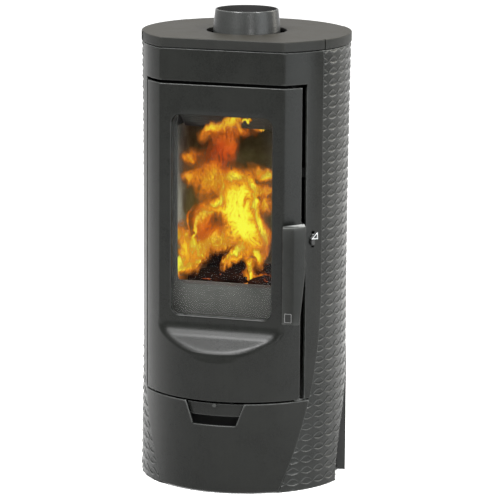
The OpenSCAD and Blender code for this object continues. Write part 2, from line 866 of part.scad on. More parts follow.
module door() {
    rib_in_w = rib_out_w - 2 * door_rib_t;
    rib_in_h = rib_out_h - 2 * door_rib_t;
    knuckle_gap = slide_clearance;
    color(cast_colour) difference() {
        union() {
            intersection() {
                difference() {
                    door_body(0);
                    door_body(door_t);
                }
                door_fan(door_z, door_top);
            }
            // rib for the sealing rope
            intersection() {
                difference() {
                    window_frame(rib_out_w, rib_out_h, 14, -door_back - 12, -rib_back);
                    window_frame(rib_in_w, rib_in_h, 8, -door_back - 13, -rib_back + 1);
                }
                door_body(1);
            }
            // hinge knuckles
            for (z = [hinge_low_z, hinge_high_z])
                translate([0, 0, z + knuckle_h + knuckle_gap]) intersection() {
                    linear_extrude(knuckle_h - knuckle_gap) difference() {
                        union() {
                            translate(hinge) circle(r = knuckle_r);
                            translate([hinge.x - 3, hinge.y - 30]) square([11, 30]);
                        }
                        translate(hinge) circle(r = hinge_pin_r + pin_clearance);
                    }
                    cylinder(r = body_r - 1, h = knuckle_h);
                }
            // lugs for the handle pin
            for (z = [hub_z - lug_h, hub_z + hub_h])
                translate([0, 0, z]) intersection() {
                    linear_extrude(lug_h) difference() {
                        union() {
                            translate(handle_pin) circle(r = hub_r);
                            translate([handle_pin.x - 7, handle_pin.y - 30]) square([7.5, 30]);
                        }
                        translate(handle_pin) circle(r = handle_pin_r);
                    }
                    cylinder(r = body_r - 1, h = lug_h);
                }
        }
        // window
        window_frame(window_w, window_h, window_corner_r, -flat_d - 1, -door_back + 1);
        for (i = [0:2])
            window_frame(window_w + 2 * window_bevel * (3 - i) / 3,
                         window_h + 2 * window_bevel * (3 - i) / 3,
                         window_corner_r + window_bevel * (3 - i) / 3,
                         -flat_d - 1, -flat_d + window_bevel * (i + 1) / 3);
    }
}

module door_glass() {
    color("#222222", 0.4)
        window_frame(glass_w, glass_h, window_corner_r, -glass_front, -glass_back);
}

module glass_seal() {
    color("#888078") difference() {
        window_frame(glass_w, glass_h, window_corner_r, -door_back, -glass_front);
        window_frame(window_w + 1, window_h + 1, window_corner_r - 4,
                     -door_back - 1, -glass_front + 1);
    }
}

function clip_places() = let(reach = window_h / 2 - 73) [for (s = [-1, 1], z = [-reach, 0, reach])
                          [s * (glass_w / 2 + 4), window_mid + z]];

module glass_clips() {
    color(bright_colour) for (p = clip_places()) {
        side = sign(p.x);
        difference() {
            union() {
                box(min(p.x - side * 13, p.x + side * 4), max(p.x - side * 13, p.x + side * 4),
                    -glass_back, -glass_back + clip_t, p.y - 9, p.y + 9);
                box(min(p.x - side * 3, p.x + side * 4), max(p.x - side * 3, p.x + side * 4),
                    -door_back, -glass_back, p.y - 9, p.y + 9);
            }
            translate([p.x + side * 0.5, -door_back - 1, p.y]) rotate([-90, 0, 0])
                cylinder(r = 2, h = 20, $fn = 32);
        }
    }
}

module clip_screws() {
    color(bright_colour) for (p = clip_places())
        translate([p.x + sign(p.x) * 0.5, -glass_back + clip_t, p.y]) rotate([90, 0, 0])
            screw(2, clip_t + glass_t + seal_t, 3.2, 1.8);
}

module door_rope() {
    shift = rope_w - door_rib_t;
    color("#6b6a66") difference() {
        window_frame(rib_out_w + shift, rib_out_h + shift, 15, -rib_back, -rib_back + rope_d);
        window_frame(rib_out_w + shift - 2 * rope_w, rib_out_h + shift - 2 * rope_w, 8,
                     -rib_back - 1, -rib_back + rope_d + 1);
    }
}

// ---- handle ----

module handle_pin() {
    color(bright_colour) translate([handle_pin.x, handle_pin.y, hub_z - lug_h - 2])
        cylinder(r = handle_pin_r, h = hub_h + 2 * lug_h + 4);
}

module door_handle() {
    corner = [door_edge.x, -handle_front];
    left = corner.x - handle_face_w;
    right = corner.x + 21;
    back = corner.y + handle_depth;
    arm_root = [corner.x + 7, back + 16];
    bar = [[left, corner.y], corner, [right, back - 2], [right - 5, back + 17],
           arm_root, [corner.x - 16, back + 1], [left - 4, back - 5]];
    taper_z = handle_z + handle_taper_h;
    pin_bore = handle_pin_r + pin_clearance;
    arm_half = arm_t / 2 * [sin(arm_turn), cos(arm_turn)];
    lug_room = lug_h + slide_clearance + 4;
    color(cast_colour) difference() {
        union() {
            difference() {
                translate([0, 0, handle_z]) linear_extrude(handle_len) polygon(bar);
                // the right side narrows towards the lower end
                along_y(-far, 0) polygon([[right + 0.1, taper_z], [right + 40, taper_z],
                                          [right + 40, handle_z - 1],
                                          [right - 10, handle_z - 1]]);
            }
            // arm through the gap and hub on the pin
            translate([0, 0, arm_z]) linear_extrude(arm_h)
                polygon([arm_root + [-3, -6], arm_root + [4, -6],
                         arm_gap + arm_half, handle_pin + arm_half,
                         handle_pin - arm_half, arm_gap - arm_half]);
            translate([handle_pin.x, handle_pin.y, hub_z + slide_clearance])
                cylinder(r = hub_r, h = hub_h - 2 * slide_clearance);
        }
        translate([handle_pin.x, handle_pin.y, arm_z - 1]) cylinder(r = pin_bore, h = arm_h + 2);
        // room for the lugs of the door
        for (z = [arm_z - 1, hub_z + hub_h - slide_clearance])
            translate([handle_pin.x, handle_pin.y, z]) cylinder(r = hub_r + 1.5, h = lug_room);
    }
}

module handle_cap() {
    cap_w = 16;
    cap_h = 22;
    cap_t = 1;
    middle = door_edge.x - handle_face_w / 2;
    color(bright_colour) box(middle - cap_w / 2, middle + cap_w / 2,
        -handle_front - cap_t, -handle_front, handle_z + 9, handle_z + 9 + cap_h);
}

module latch_hook() {
    reach = 7;
    color(bright_colour) translate([0, 0, hook_z]) linear_extrude(hook_h) difference() {
        union() {
            translate([handle_pin.x - 3, handle_pin.y + hub_r - 1]) square([6, 20]);
            translate([handle_pin.x - 3, handle_pin.y + 24]) square([3 + reach, 6]);
        }
        translate(handle_pin) circle(r = hub_r);
    }
}

// ---- drawer ----

module notch(extra = 0) {
    polygon([[-notch_w / 2 - extra, drawer_top + 1], [notch_w / 2 + extra, drawer_top + 1],
             [notch_foot_w / 2 + extra, drawer_top - notch_h - extra],
             [-notch_foot_w / 2 - extra, drawer_top - notch_h - extra]]);
}

module drawer_front() {
    color(cast_colour) difference() {
        intersection() {
            tube(body_r, body_r - cast_t, drawer_foot, drawer_top);
            before_edge();
            box(-far, far, -far, 0, 0, drawer_top);
        }
        along_y(-far, 0) notch();
    }
}

module ash_pan() {
    arm_x = pan_w / 2 - 22;
    front_in = body_r - cast_t;
    color(steel_colour) difference() {
        union() {
            box(-pan_w / 2, pan_w / 2, -pan_front, -pan_front + pan_len, pan_z, pan_z + pan_h);
            // arms that carry the drawer front
            for (s = [-1, 1]) scale([s, 1, 1]) intersection() {
                translate([0, 0, pan_z + 10]) cylinder(r = front_in, h = pan_h - 60);
                box(arm_x, arm_x + 12, -far, -pan_front + pan_t, pan_z + 10, pan_z + pan_h - 50);
            }
        }
        box(-pan_w / 2 + pan_t, pan_w / 2 - pan_t, -pan_front + pan_t,
            -pan_front + pan_len - pan_t, pan_z + pan_t, pan_z + pan_h + 1);
        for (p = drawer_screw_places())
            translate([p.x, -pan_front + pan_t + 1, p.y]) rotate([90, 0, 0])
                cylinder(r = 2, h = 17, $fn = 32);
    }
}

function drawer_screw_places() = [for (s = [-1, 1], z = [pan_z + 22, pan_z + pan_h - 62])
                                  [s * (pan_w / 2 - 16), z]];

module drawer_screws() {
    color(bright_colour) for (p = drawer_screw_places())
        translate([p.x, -pan_front + pan_t, p.y]) rotate([90, 0, 0]) screw(2, 16, 4, 2);
}

// ---- air controls ----

module primary_air_slide() {
    foot = lip_z - air_lip_h;
    color(steel_colour) {
        intersection() {
            tube(lip_r_out - 1, lip_r_out - 1 - lip_t, foot, lip_z);
            along_y(-far, 0) notch(-1.5);
        }
        difference() {
            box(-tongue_w / 2, tongue_w / 2, -lip_r_out + lip_t, tongue_back,
                tongue_z, tongue_z + tongue_t);
            air_slots(air_slot_y + air_travel, tongue_z, tongue_t);
        }
    }
}

module primary_air_button() {
    button_r = 4.5;
    color(bright_colour) translate([0, -lip_r_out + 1, lip_z - button_r]) rotate([90, 0, 0])
        cylinder(r = button_r, h = 3.6, $fn = 32);
}

// Places its children on the right stile, at radius r and height z
module stile_frame(r, z) {
    rotate(lever_az) translate([0, -r, z]) children();
}

module secondary_air_slide() {
    in_r = body_r - cast_t;
    slide_w = lever_slot_w + 10;
    slide_h = lever_slot_h + lever_travel + 4;
    color(steel_colour) stile_frame(in_r - lever_gap, lever_z - lever_slot_h / 2 - 2)
        translate([-slide_w / 2, 0, 0]) cube([slide_w, 2, slide_h]);
}

module secondary_air_knob() {
    shaft_r = 2.5;
    proud = 9;
    rest_z = lever_z + lever_slot_h / 2 - 8;
    color(dark_colour) stile_frame(body_r, rest_z) {
        translate([0, cast_t + lever_gap, 0]) rotate([90, 0, 0])
            cylinder(r = shaft_r, h = cast_t + lever_gap + 2, $fn = 32);
        rotate([90, 0, 0]) translate([0, 0, 0.8]) linear_extrude(proud)
            polygon([[-10, -4], [9, 9], [10, -7]]);
    }
}

base_plate();
side_casting_left();
side_casting_right();
rear_casing();
front_frame();
top_plate();
flue_collar();
collar_screws();
support_ring();
ring_spacers();
firebox_shell();
firebox_front();
firebox_top();
firebox_floor();
brick_left();
brick_right();
brick_back();
grate();
log_guard();
baffle_brick();
baffle_plate();
baffle_rests();
air_wash_deflector();
ash_chute();
air_shelf();
slide_guides();
drawer_runners();
hinge_brackets();
hinge_pins();
latch_keeper();
keeper_screws();
casing_clips();
frame_brackets();
door();
door_glass();
glass_seal();
glass_clips();
clip_screws();
door_rope();
handle_pin();
door_handle();
handle_cap();
latch_hook();
drawer_front();
ash_pan();
drawer_screws();
primary_air_slide();
primary_air_button();
secondary_air_slide();
secondary_air_knob();
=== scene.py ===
"""Looks of the column wood stove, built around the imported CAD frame.

Shapes are in millimetres, and azimuths in degrees from the front (-Y) towards +X. Materials,
lamps and the camera are in metres.
"""
import json
import math

import bmesh
import bpy
import numpy as np
from mathutils import Matrix, Vector


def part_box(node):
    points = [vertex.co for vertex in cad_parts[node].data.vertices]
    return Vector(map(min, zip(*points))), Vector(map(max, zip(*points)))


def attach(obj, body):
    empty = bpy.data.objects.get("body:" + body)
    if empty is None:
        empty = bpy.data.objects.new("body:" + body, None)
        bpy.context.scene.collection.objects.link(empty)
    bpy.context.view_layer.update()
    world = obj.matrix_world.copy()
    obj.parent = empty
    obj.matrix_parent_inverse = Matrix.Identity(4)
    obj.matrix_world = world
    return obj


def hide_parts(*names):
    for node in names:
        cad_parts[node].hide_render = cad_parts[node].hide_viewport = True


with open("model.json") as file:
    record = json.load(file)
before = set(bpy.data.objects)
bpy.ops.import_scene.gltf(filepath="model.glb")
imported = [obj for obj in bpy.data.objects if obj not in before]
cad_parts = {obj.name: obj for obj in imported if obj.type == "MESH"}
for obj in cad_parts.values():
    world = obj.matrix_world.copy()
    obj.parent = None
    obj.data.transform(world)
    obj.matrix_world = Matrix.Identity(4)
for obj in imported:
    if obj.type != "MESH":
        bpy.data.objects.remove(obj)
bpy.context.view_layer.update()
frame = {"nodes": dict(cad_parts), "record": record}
scene = bpy.context.scene

MM = 0.001

# ---- sizes shared with the CAD source ----

BODY_R = 231.0
FLAT = 183.0
CAST_T = 7.0
DOOR_T = 8.0
CASING_H = 979.5
SEAM = 0.6
SIDE_R = 232.0
SIDE_WAIST = 4.0
SIDE_IN_R = 221.5
SWEEP_H = 453.0
EDGE_AZ, EDGE_FOOT_AZ = 64.0, 36.0
REAR_SWEEP_H = 477.0
REAR_AZ, REAR_FOOT_AZ = 127.0, 80.0
REAR_R = 230.0
PLATE_Z, TOP_Z = 981.5, 1003.5
DOOR_Z, DOOR_TOP, HEADER_Z = 208.0, 902.0, 909.0
DRAWER_FOOT, DRAWER_TOP = 4.0, 204.0
DOOR_HINGE_AZ, DOOR_HANDLE_AZ = -52.9, 49.0
FRAME_HINGE_AZ, FRAME_HANDLE_AZ = -54.2, 52.1
SCOOP_TOP, SCOOP_R, LIP_R, LEDGE_TURN = 380.0, 45.0, 16.0, 48.0
LIP_END = 309.67
WINDOW_X, WINDOW_Z0, WINDOW_Z1, WINDOW_R, WINDOW_BEVEL = 115.0, 388.0, 834.0, 20.0, 4.0
HINGE = (-160.277, -141.801)
HINGE_R, HINGE_BORE, HINGE_LEVELS = 8.5, 4.05, (262.0, 820.0)
HANDLE_PIN = (166.04, -128.0)
HUB_Z0, HUB_Z1, HUB_R, HUB_BORE = 487.0, 591.0, 6.5, 3.05
LEVER_AZ, LEVER_Z, LEVER_SLOT_W, LEVER_SLOT_H = 57.0, 565.0, 8.0, 36.0
NOTCH_TOP, NOTCH_FOOT, NOTCH_Z = 67.5, 49.0, 154.0
COLLAR_BORE, COLLAR_HOLE = 66.0, 89.0
SLIDE_R, SLIDE_T = 223.0, 3.0


# ---- mesh helpers ----

def make_object(name, verts, faces):
    """Mesh object from points in mm; its faces are turned outwards."""
    mesh = bpy.data.meshes.new(name)
    mesh.from_pydata([tuple(float(c) * MM for c in v) for v in verts], [], faces)
    work = bmesh.new()
    work.from_mesh(mesh)
    loose = [v for v in work.verts if not v.link_faces]
    bmesh.ops.delete(work, geom=loose, context="VERTS")
    bmesh.ops.recalc_face_normals(work, faces=work.faces)
    work.to_mesh(mesh)
    work.free()
    obj = bpy.data.objects.new(name, mesh)
    scene.collection.objects.link(obj)
    return obj


def modified(obj, kind, **settings):
    """Bakes a modifier into the object's mesh."""
    mod = obj.modifiers.new(kind.lower(), kind)
    for key, value in settings.items():
        setattr(mod, key, value)
    bpy.context.view_layer.update()
    evaluated = obj.evaluated_get(bpy.context.evaluated_depsgraph_get())
    mesh = bpy.data.meshes.new_from_object(evaluated)
    obj.modifiers.clear()
    obj.data = mesh
    return obj


def bevel(obj, width, segments=3, angle=40.0, clamp=True):
    """Rounds the edges that are sharper than angle."""
    return modified(obj, "BEVEL", width=width * MM, segments=segments, limit_method="ANGLE",
                    angle_limit=math.radians(angle), use_clamp_overlap=clamp)


def cut(obj, *cutters):
    """Takes the cutters out of the object and removes them."""
    for cutter in cutters:
        modified(obj, "BOOLEAN", operation="DIFFERENCE", solver="EXACT", object=cutter)
        bpy.data.objects.remove(cutter)
    return obj


def join(first, *others):
    """Joins the others into the first object."""
    work = bmesh.new()
    work.from_mesh(first.data)
    for other in others:
        work.from_mesh(other.data)
        bpy.data.objects.remove(other)
    work.to_mesh(first.data)
    work.free()
    return first


def shade(obj, angle=32.0, weighted=True):
    """Smooth shading with sharp edges above the angle, and large faces kept flat."""
    obj.data.shade_smooth()
    obj.data.set_sharp_from_angle(angle=math.radians(angle))
    if weighted:
        modified(obj, "WEIGHTED_NORMAL", keep_sharp=True, weight=50)
    return obj


def shell(name, outer, inner, kept=None):
    """Closed wall between two matching grids of points (rows, columns, 3)."""
    outer, inner = np.asarray(outer), np.asarray(inner)
    rows, cols = outer.shape[:2]
    layer = rows * cols
    if kept is None:
        kept = np.ones((rows - 1, cols - 1), bool)
    padded = np.pad(kept, 1)
    faces = []
    for i, j in np.argwhere(kept).tolist():
        a, d = i * cols + j, (i + 1) * cols + j
        b, c = a + 1, d + 1
        faces += [(a, b, c, d), (a + layer, d + layer, c + layer, b + layer)]
        for row, col, p, q in ((i, j + 1, a, b), (i + 2, j + 1, c, d), (i + 1, j, d, a),
                               (i + 1, j + 2, b, c)):
            if not padded[row, col]:
                faces.append((p, p + layer, q + layer, q))
    return make_object(name, np.concatenate([outer.reshape(-1, 3), inner.reshape(-1, 3)]), faces)


def loft(name, rings, closed=False):
    """Solid through rings of equal length; capped at both ends, or closed on itself."""
    count = len(rings[0])
    verts = [p for ring in rings for p in ring]
    faces = []
    for i in range(len(rings) if closed else len(rings) - 1):
        low, high = i * count, (i + 1) % len(rings) * count
        faces += [(low + j, low + (j + 1) % count, high + (j + 1) % count, high + j)
                  for j in range(count)]
    if not closed:
        faces += [tuple(range(count)), tuple(range(len(verts) - count, len(verts)))]
    return make_object(name, verts, faces)


def turned(name, profile, steps=96, centre=(0.0, 0.0)):
    """Ring of a closed (r, z) profile turned round the vertical through centre."""
    turns = [2 * math.pi * k / steps for k in range(steps)]
    return loft(name, [[(centre[0] + r * math.cos(a), centre[1] + r * math.sin(a), z)
                        for r, z in profile] for a in turns], closed=True)


def prism(name, outline, z0, z1):
    """Upright solid over an outline of (x, y) points."""
    return loft(name, [[(x, y, z) for x, y in outline] for z in (z0, z1)])


def block(name, x0, x1, y0, y1, z0, z1):
    return prism(name, [(x0, y0), (x1, y0), (x1, y1), (x0, y1)], z0, z1)


def tube(name, centre, bore, radius, z0, z1, steps, round_r):
    """Upright sleeve with rounded edges."""
    profile = [(bore, z0), (radius, z0), (radius, z1), (bore, z1)]
    return bevel(turned(name, profile, steps, centre), round_r, 2)


def frame_loop(name, outer, inner, place, near, far):
    """Closed frame between two outlines of (x, z) points, from one depth to the other."""
    return loft(name, [[place(*o, near), place(*o, far), place(*i, far), place(*i, near)]
                       for o, i in zip(outer, inner)], closed=True)


def oval(x, z, half_w, half_h, steps):
    return [(x + half_w * math.cos(2 * math.pi * k / steps),
             z + half_h * math.sin(2 * math.pi * k / steps)) for k in range(steps)]


def round_rect(half_w, z0, z1, radius, steps):
    """Points (x, z) round a rectangle with round corners, centred on x = 0."""
    points = []
    corners = [(half_w - radius, z0 + radius, -90), (half_w - radius, z1 - radius, 0),
               (-half_w + radius, z1 - radius, 90), (-half_w + radius, z0 + radius, 180)]
    for cx, cz, start in corners:
        for k in range(steps + 1):
            a = math.radians(start + 90.0 * k / steps)
            points.append((cx + radius * math.cos(a), cz + radius * math.sin(a)))
    return points


def spaced(*stops):
    """Positions from one stop to the next, given as stop, step, stop, step, ..., stop."""
    values = []
    for start, step, end in zip(stops[::2], stops[1::2], stops[2::2]):
        count = max(1, round((end - start) / step))
        values += [start + (end - start) * k / count for k in range(count + 1)]
    return np.array(sorted(set(round(v, 4) for v in values)))


def smooth_min(a, b, k=3.2):
    """Smaller of two distances, with a round of k / 4 where they meet."""
    meet = np.clip(k - np.abs(a - b), 0, None) / k
    return np.minimum(a, b) - meet ** 2 * k / 4


def quarter(steps):
    """(1 - cos, 1 - sin) at equal steps of a quarter turn."""
    turns = [math.pi / 2 * k / steps for k in range(steps + 1)]
    return [(1 - math.cos(t), 1 - math.sin(t)) for t in turns]


def cosd(degrees):
    return np.cos(np.radians(degrees))


def wall_point(rho, az, z):
    return np.stack(np.broadcast_arrays(rho * np.sin(np.radians(az)), -rho * cosd(az), z), axis=-1)


# ---- materials ----

class Nodes:
    """Short calls for building a node tree."""

    def __init__(self, tree):
        self.tree = tree

    def feed(self, socket, value):
        """Links an output to the socket, or writes a value into it."""
        if isinstance(value, bpy.types.NodeSocket):
            self.tree.links.new(value, socket)
        else:
            socket.default_value = value

    def node(self, kind, inputs=(), **settings):
        """New node; its inputs are given by name, or in their order."""
        made = self.tree.nodes.new("ShaderNode" + kind)
        for key, value in settings.items():
            setattr(made, key, value)
        for key, value in inputs.items() if isinstance(inputs, dict) else enumerate(inputs):
            self.feed(made.inputs[key], value)
        return made

    def math(self, operation, a, b=0.0, clamp=False):
        return self.node("Math", (a, b), operation=operation, use_clamp=clamp).outputs[0]

    def vector(self, operation, a, b=(0.0, 0.0, 0.0)):
        made = self.node("VectorMath", (a, b), operation=operation)
        return made.outputs["Value" if operation in ("LENGTH", "DOT_PRODUCT") else "Vector"]

    def total(self, *parts):
        """Sum of (value, share) pairs."""
        result = None
        for value, share in parts:
            part = self.math("MULTIPLY", value, share)
            result = part if result is None else self.math("ADD", result, part)
        return result

    def span(self, value, low, high, to_low=0.0, to_high=1.0):
        """Maps low..high to another range, and keeps to its ends."""
        return self.node("MapRange", (value, low, high, to_low, to_high), clamp=True).outputs[0]


class Material(Nodes):
    """A node material built around one Principled shader."""

    def __init__(self, name, **values):
        self.mat = bpy.data.materials.new(name)
        self.mat.use_nodes = True
        super().__init__(self.mat.node_tree)
        self.tree.nodes.clear()
        out = self.node("OutputMaterial")
        self.bsdf = self.node("BsdfPrincipled")
        self.feed(out.inputs[0], self.bsdf.outputs[0])
        self.coords = self.node("TexCoord").outputs["Object"]
        self.give(**values)

    def give(self, **values):
        """Feeds the shader's inputs and returns the material."""
        for key, value in values.items():
            self.feed(self.bsdf.inputs[key.replace("_", " ")], value)
        return self.mat

    def axis(self, index, source=None):
        return self.node("SeparateXYZ", (source or self.coords,)).outputs[index]

    def stretch(self, scale, source=None):
        return self.node("Mapping", {"Vector": source or self.coords, "Scale": scale}).outputs[0]

    def noise(self, scale, detail=4.0, rough=0.55, vector=None, distortion=0.0, output="Fac"):
        made = self.node("TexNoise", {"Vector": vector or self.coords, "Scale": scale,
                                      "Detail": detail, "Roughness": rough,
                                      "Distortion": distortion})
        return made.outputs[output]

    def usual(self, noise, to_low, to_high):
        """Maps the usual range of a noise."""
        return self.span(noise, 0.3, 0.7, to_low, to_high)

    def ramp(self, factor, stops):
        made = self.node("ValToRGB", (factor,))
        elements = made.color_ramp.elements
        while len(elements) < len(stops):
            elements.new(0.5)
        for element, (place, colour) in zip(elements, stops):
            element.position = place
            element.color = (*colour, 1.0)
        return made.outputs[0]

    def mix(self, factor, a, b):
        a, b = ((*c, 1.0) if isinstance(c, tuple) else c for c in (a, b))
        return self.node("Mix", {0: factor, 6: a, 7: b}, data_type="RGBA").outputs[2]

    def bump(self, height, distance, strength, normal=None):
        """Normal bent by a height over a distance in mm."""
        made = self.node("Bump", {"Height": height, "Distance": distance * MM,
                                  "Strength": strength})
        if normal is not None:
            self.feed(made.inputs["Normal"], normal)
        return made.outputs[0]


def casting_paint(name, dark, light, edge, grain=0.16, gloss=0.12, rough=(0.24, 0.33),
                  top_highlight_above=None, unlit_side_tone=None, bore=None):
    """Satin dark paint on cast iron: cloudy tone, fine sand grain, and lighter edges that are
    partly rubbed paint and partly a painted highlight.
    """
    m = Material(name, Metallic=0.0, Specular_IOR_Level=gloss)
    clouds = m.noise(11.0, 5.0, 0.6)
    brushed = m.noise(1.0, 3.0, 0.6, m.stretch((190.0, 190.0, 7.0)))
    sand = m.noise(620.0, 3.0, 0.62)
    tone = m.total((clouds, 0.5), (sand, 0.3), (brushed, 0.2))
    base = m.ramp(tone, [(0.36, dark), (0.64, light)])
    geometry = m.node("NewGeometry").outputs
    facing = m.axis(2, geometry["Normal"])
    # painted light: faces that look up get the lighter tones, faces that look sideways the darker
    # side tone
    if unlit_side_tone:
        side = m.ramp(tone, [(0.36, unlit_side_tone[0]), (0.64, unlit_side_tone[1])])
        base = m.mix(m.span(facing, 0.35, 0.9), side, base)
    # edge colour on sharp edges: partly rubbed paint, partly a painted highlight; edges that face
    # down get none
    rub_and_highlight = m.span(geometry["Pointiness"], 0.515, 0.57, 0.0, 0.8)
    rub_and_highlight = m.math("MULTIPLY", rub_and_highlight, m.span(m.noise(60.0), 0.35, 0.65, 0.6, 1.0))
    rub_and_highlight = m.math("MULTIPLY", rub_and_highlight, m.span(facing, -0.3, 0.1))
    colour = m.mix(rub_and_highlight, base, edge)
    # painted highlight: faces above this height are painted light grey, with a ragged edge
    if top_highlight_above:
        patchy = m.math("MULTIPLY", m.span(m.noise(140.0, 3.0), 0.3, 0.6, -1.2, 0.0), MM)
        height = m.math("ADD", m.axis(2), patchy)
        top_highlight = m.span(height, top_highlight_above * MM, (top_highlight_above + 1.2) * MM)
        colour = m.mix(top_highlight, colour, (0.2, 0.205, 0.2))
    rough_now = m.span(m.total((clouds, 0.5), (sand, 0.5)), 0.35, 0.65, *rough)
    # soot and painted shade: the inside of the bore is painted near black and rough
    if bore:
        out = m.vector("LENGTH", m.vector("MULTIPLY", m.coords, (1.0, 1.0, 0.0)))
        soot_and_shade = m.span(out, bore * MM, (bore + 1.0) * MM, 1.0, 0.0)
        colour = m.mix(soot_and_shade, colour, (0.0025, 0.0025, 0.0023))
        rough_now = m.math("MAXIMUM", rough_now, m.math("MULTIPLY", soot_and_shade, 0.8))
    coarse = m.bump(m.noise(170.0, 4.0, 0.6), 0.35, 0.35)
    return m.give(Base_Color=colour, Roughness=rough_now, Normal=m.bump(sand, grain, 0.7, coarse))


def scorched_steel():
    """Bare grey sheet inside the firebox: rolling lines, heat clouds, black soot and painted shade
    at the top.
    """
    m = Material("scorched_steel", Specular_IOR_Level=0.1)
    clouds = m.noise(17.0, 5.0, 0.6)
    lines = m.noise(1.0, 3.0, 0.55, m.stretch((8.0, 8.0, 420.0)))
    grey = m.ramp(m.total((clouds, 0.7), (lines, 0.3)), [
        (0.32, (0.028, 0.029, 0.026)), (0.52, (0.043, 0.044, 0.040)),
        (0.72, (0.058, 0.059, 0.054))])
    # soot and painted shade: near black from about 0.88 m up, which darkens the gap over the door
    height = m.math("ADD", m.axis(2), m.math("MULTIPLY", clouds, 0.02))
    soot_and_shade = m.span(height, 0.88, 0.90, 0.0, 0.95)
    return m.give(Base_Color=m.mix(soot_and_shade, grey, (0.002, 0.002, 0.002)),
                  Roughness=m.usual(clouds, 0.72, 0.86),
                  Normal=m.bump(m.noise(240.0, 3.0), 0.06, 0.4))


def sheet_paint(name, colour, lighter):
    """Matt painted sheet with faint rolling lines and specks."""
    m = Material(name, Metallic=0.0, Specular_IOR_Level=0.3)
    fine = m.noise(700.0, 2.0, 0.5)
    lines = m.noise(1.0, 2.0, vector=m.stretch((420.0, 420.0, 14.0)))
    tone = m.total((m.noise(26.0, 5.0, 0.6), 0.6), (lines, 0.4))
    return m.give(Base_Color=m.ramp(tone, [(0.34, colour), (0.68, lighter)]),
                  Roughness=m.usual(fine, 0.55, 0.72), Normal=m.bump(fine, 0.1, 0.5))


def bare_metal(name, colour, lighter, rough=0.34):
    """Plated steel with fine drawing lines and cloudy plating."""
    m = Material(name, Metallic=1.0)
    lines = m.noise(1.0, 3.0, 0.6, m.stretch((900.0, 900.0, 60.0)))
    clouds = m.noise(90.0, 4.0, 0.6)
    return m.give(Base_Color=m.ramp(clouds, [(0.32, colour), (0.7, lighter)]),
                  Roughness=m.usual(lines, rough - 0.07, rough + 0.12),
                  Normal=m.bump(lines, 0.05, 0.5))


def fire_brick():
    """Pale lining brick, sandy and sooted towards the top."""
    m = Material("lining_brick", Specular_IOR_Level=0.2)
    clouds = m.noise(24.0, 6.0, 0.65)
    sand = m.noise(520.0, 4.0, 0.7)
    base = m.ramp(clouds, [(0.3, (0.13, 0.135, 0.115)), (0.55, (0.25, 0.26, 0.22)),
                           (0.78, (0.33, 0.34, 0.29))])
    soot_and_shade = m.math("ADD", m.span(m.axis(2), 0.62, 0.80, 0.0, 0.55),
                  m.span(m.noise(9.0, 5.0, 0.6), 0.42, 0.66, 0.0, 0.5), clamp=True)
    return m.give(Base_Color=m.mix(soot_and_shade, base, (0.045, 0.048, 0.045)),
                  Roughness=m.usual(sand, 0.8, 0.97),
                  Normal=m.bump(sand, 0.5, 0.8, m.bump(clouds, 1.2, 0.5)))


def burnt_iron():
    """Heat-scaled cast iron of the grate and the guard."""
    m = Material("grate_iron_scale", Metallic=0.35, Specular_IOR_Level=0.4)
    scale = m.noise(150.0, 5.0, 0.65)
    rust = m.span(m.noise(18.0, 4.0, 0.6), 0.52, 0.7, 0.0, 0.45)
    base = m.ramp(scale, [(0.3, (0.018, 0.016, 0.015)), (0.7, (0.055, 0.047, 0.04))])
    return m.give(Base_Color=m.mix(rust, base, (0.10, 0.055, 0.03)),
                  Roughness=m.usual(scale, 0.6, 0.85), Normal=m.bump(scale, 0.4, 0.7))


def fibre_rope():
    """Woven glass-fibre rope, grey, with painted shade in its valleys."""
    m = Material("rope_fibre", Specular_IOR_Level=0.25, Sheen_Weight=0.3, Sheen_Roughness=0.5)
    fibres = m.noise(1500.0, 3.0, 0.6)
    smudge = m.span(m.noise(35.0, 4.0, 0.6), 0.45, 0.7, 0.0, 0.5)
    # painted shade: hollows between the strands are painted dark
    valley_shade = m.span(m.node("NewGeometry").outputs["Pointiness"], 0.44, 0.54)
    base = m.mix(valley_shade, (0.05, 0.048, 0.045), (0.27, 0.26, 0.24))
    return m.give(Base_Color=m.mix(smudge, base, (0.06, 0.056, 0.05)),
                  Roughness=m.usual(fibres, 0.8, 0.95), Normal=m.bump(fibres, 0.15, 0.7))


def fire_glass():
    """Clear glass-ceramic with a faint smoke veil towards its edges."""
    m = Material("glass_ceramic", Base_Color=(0.012, 0.012, 0.012, 1.0), Roughness=0.06,
                 Specular_IOR_Level=0.3)
    side = m.math("ABSOLUTE", m.axis(0))
    rise = m.math("ABSOLUTE", m.math("SUBTRACT", m.axis(2), (WINDOW_Z0 + WINDOW_Z1) / 2 * MM))
    veil = m.math("MAXIMUM", m.span(side, 0.085, 0.116), m.span(rise, 0.185, 0.224))
    veil = m.math("MULTIPLY", veil, m.usual(m.noise(30.0, 5.0, 0.6), 0.3, 1.0))
    return m.give(Alpha=m.span(veil, 0.0, 1.0, 0.04, 0.2))


def seal_felt():
    """Flat pale fibre seal."""
    m = Material("seal_felt", Specular_IOR_Level=0.2)
    fibres = m.noise(1100.0, 4.0, 0.65)
    colour = m.ramp(fibres, [(0.3, (0.20, 0.19, 0.175)), (0.7, (0.42, 0.40, 0.37))])
    return m.give(Base_Color=colour, Roughness=m.usual(fibres, 0.85, 0.97),
                  Normal=m.bump(fibres, 0.2, 0.7))


SMOOTH_TONES = ((0.0028, 0.0031, 0.0026), (0.0058, 0.0062, 0.0054))
# the third colour of each casting paint goes on sharp edges: partly rubbed paint, partly a painted
# highlight
smooth_paint = casting_paint("smooth_casting_paint", *SMOOTH_TONES, (0.14, 0.144, 0.14))
sheet_black = sheet_paint("steel_sheet_paint", (0.010, 0.0103, 0.010), (0.018, 0.018, 0.0175))
lever_steel = bare_metal("lever_steel", (0.20, 0.205, 0.205), (0.34, 0.345, 0.345), 0.3)
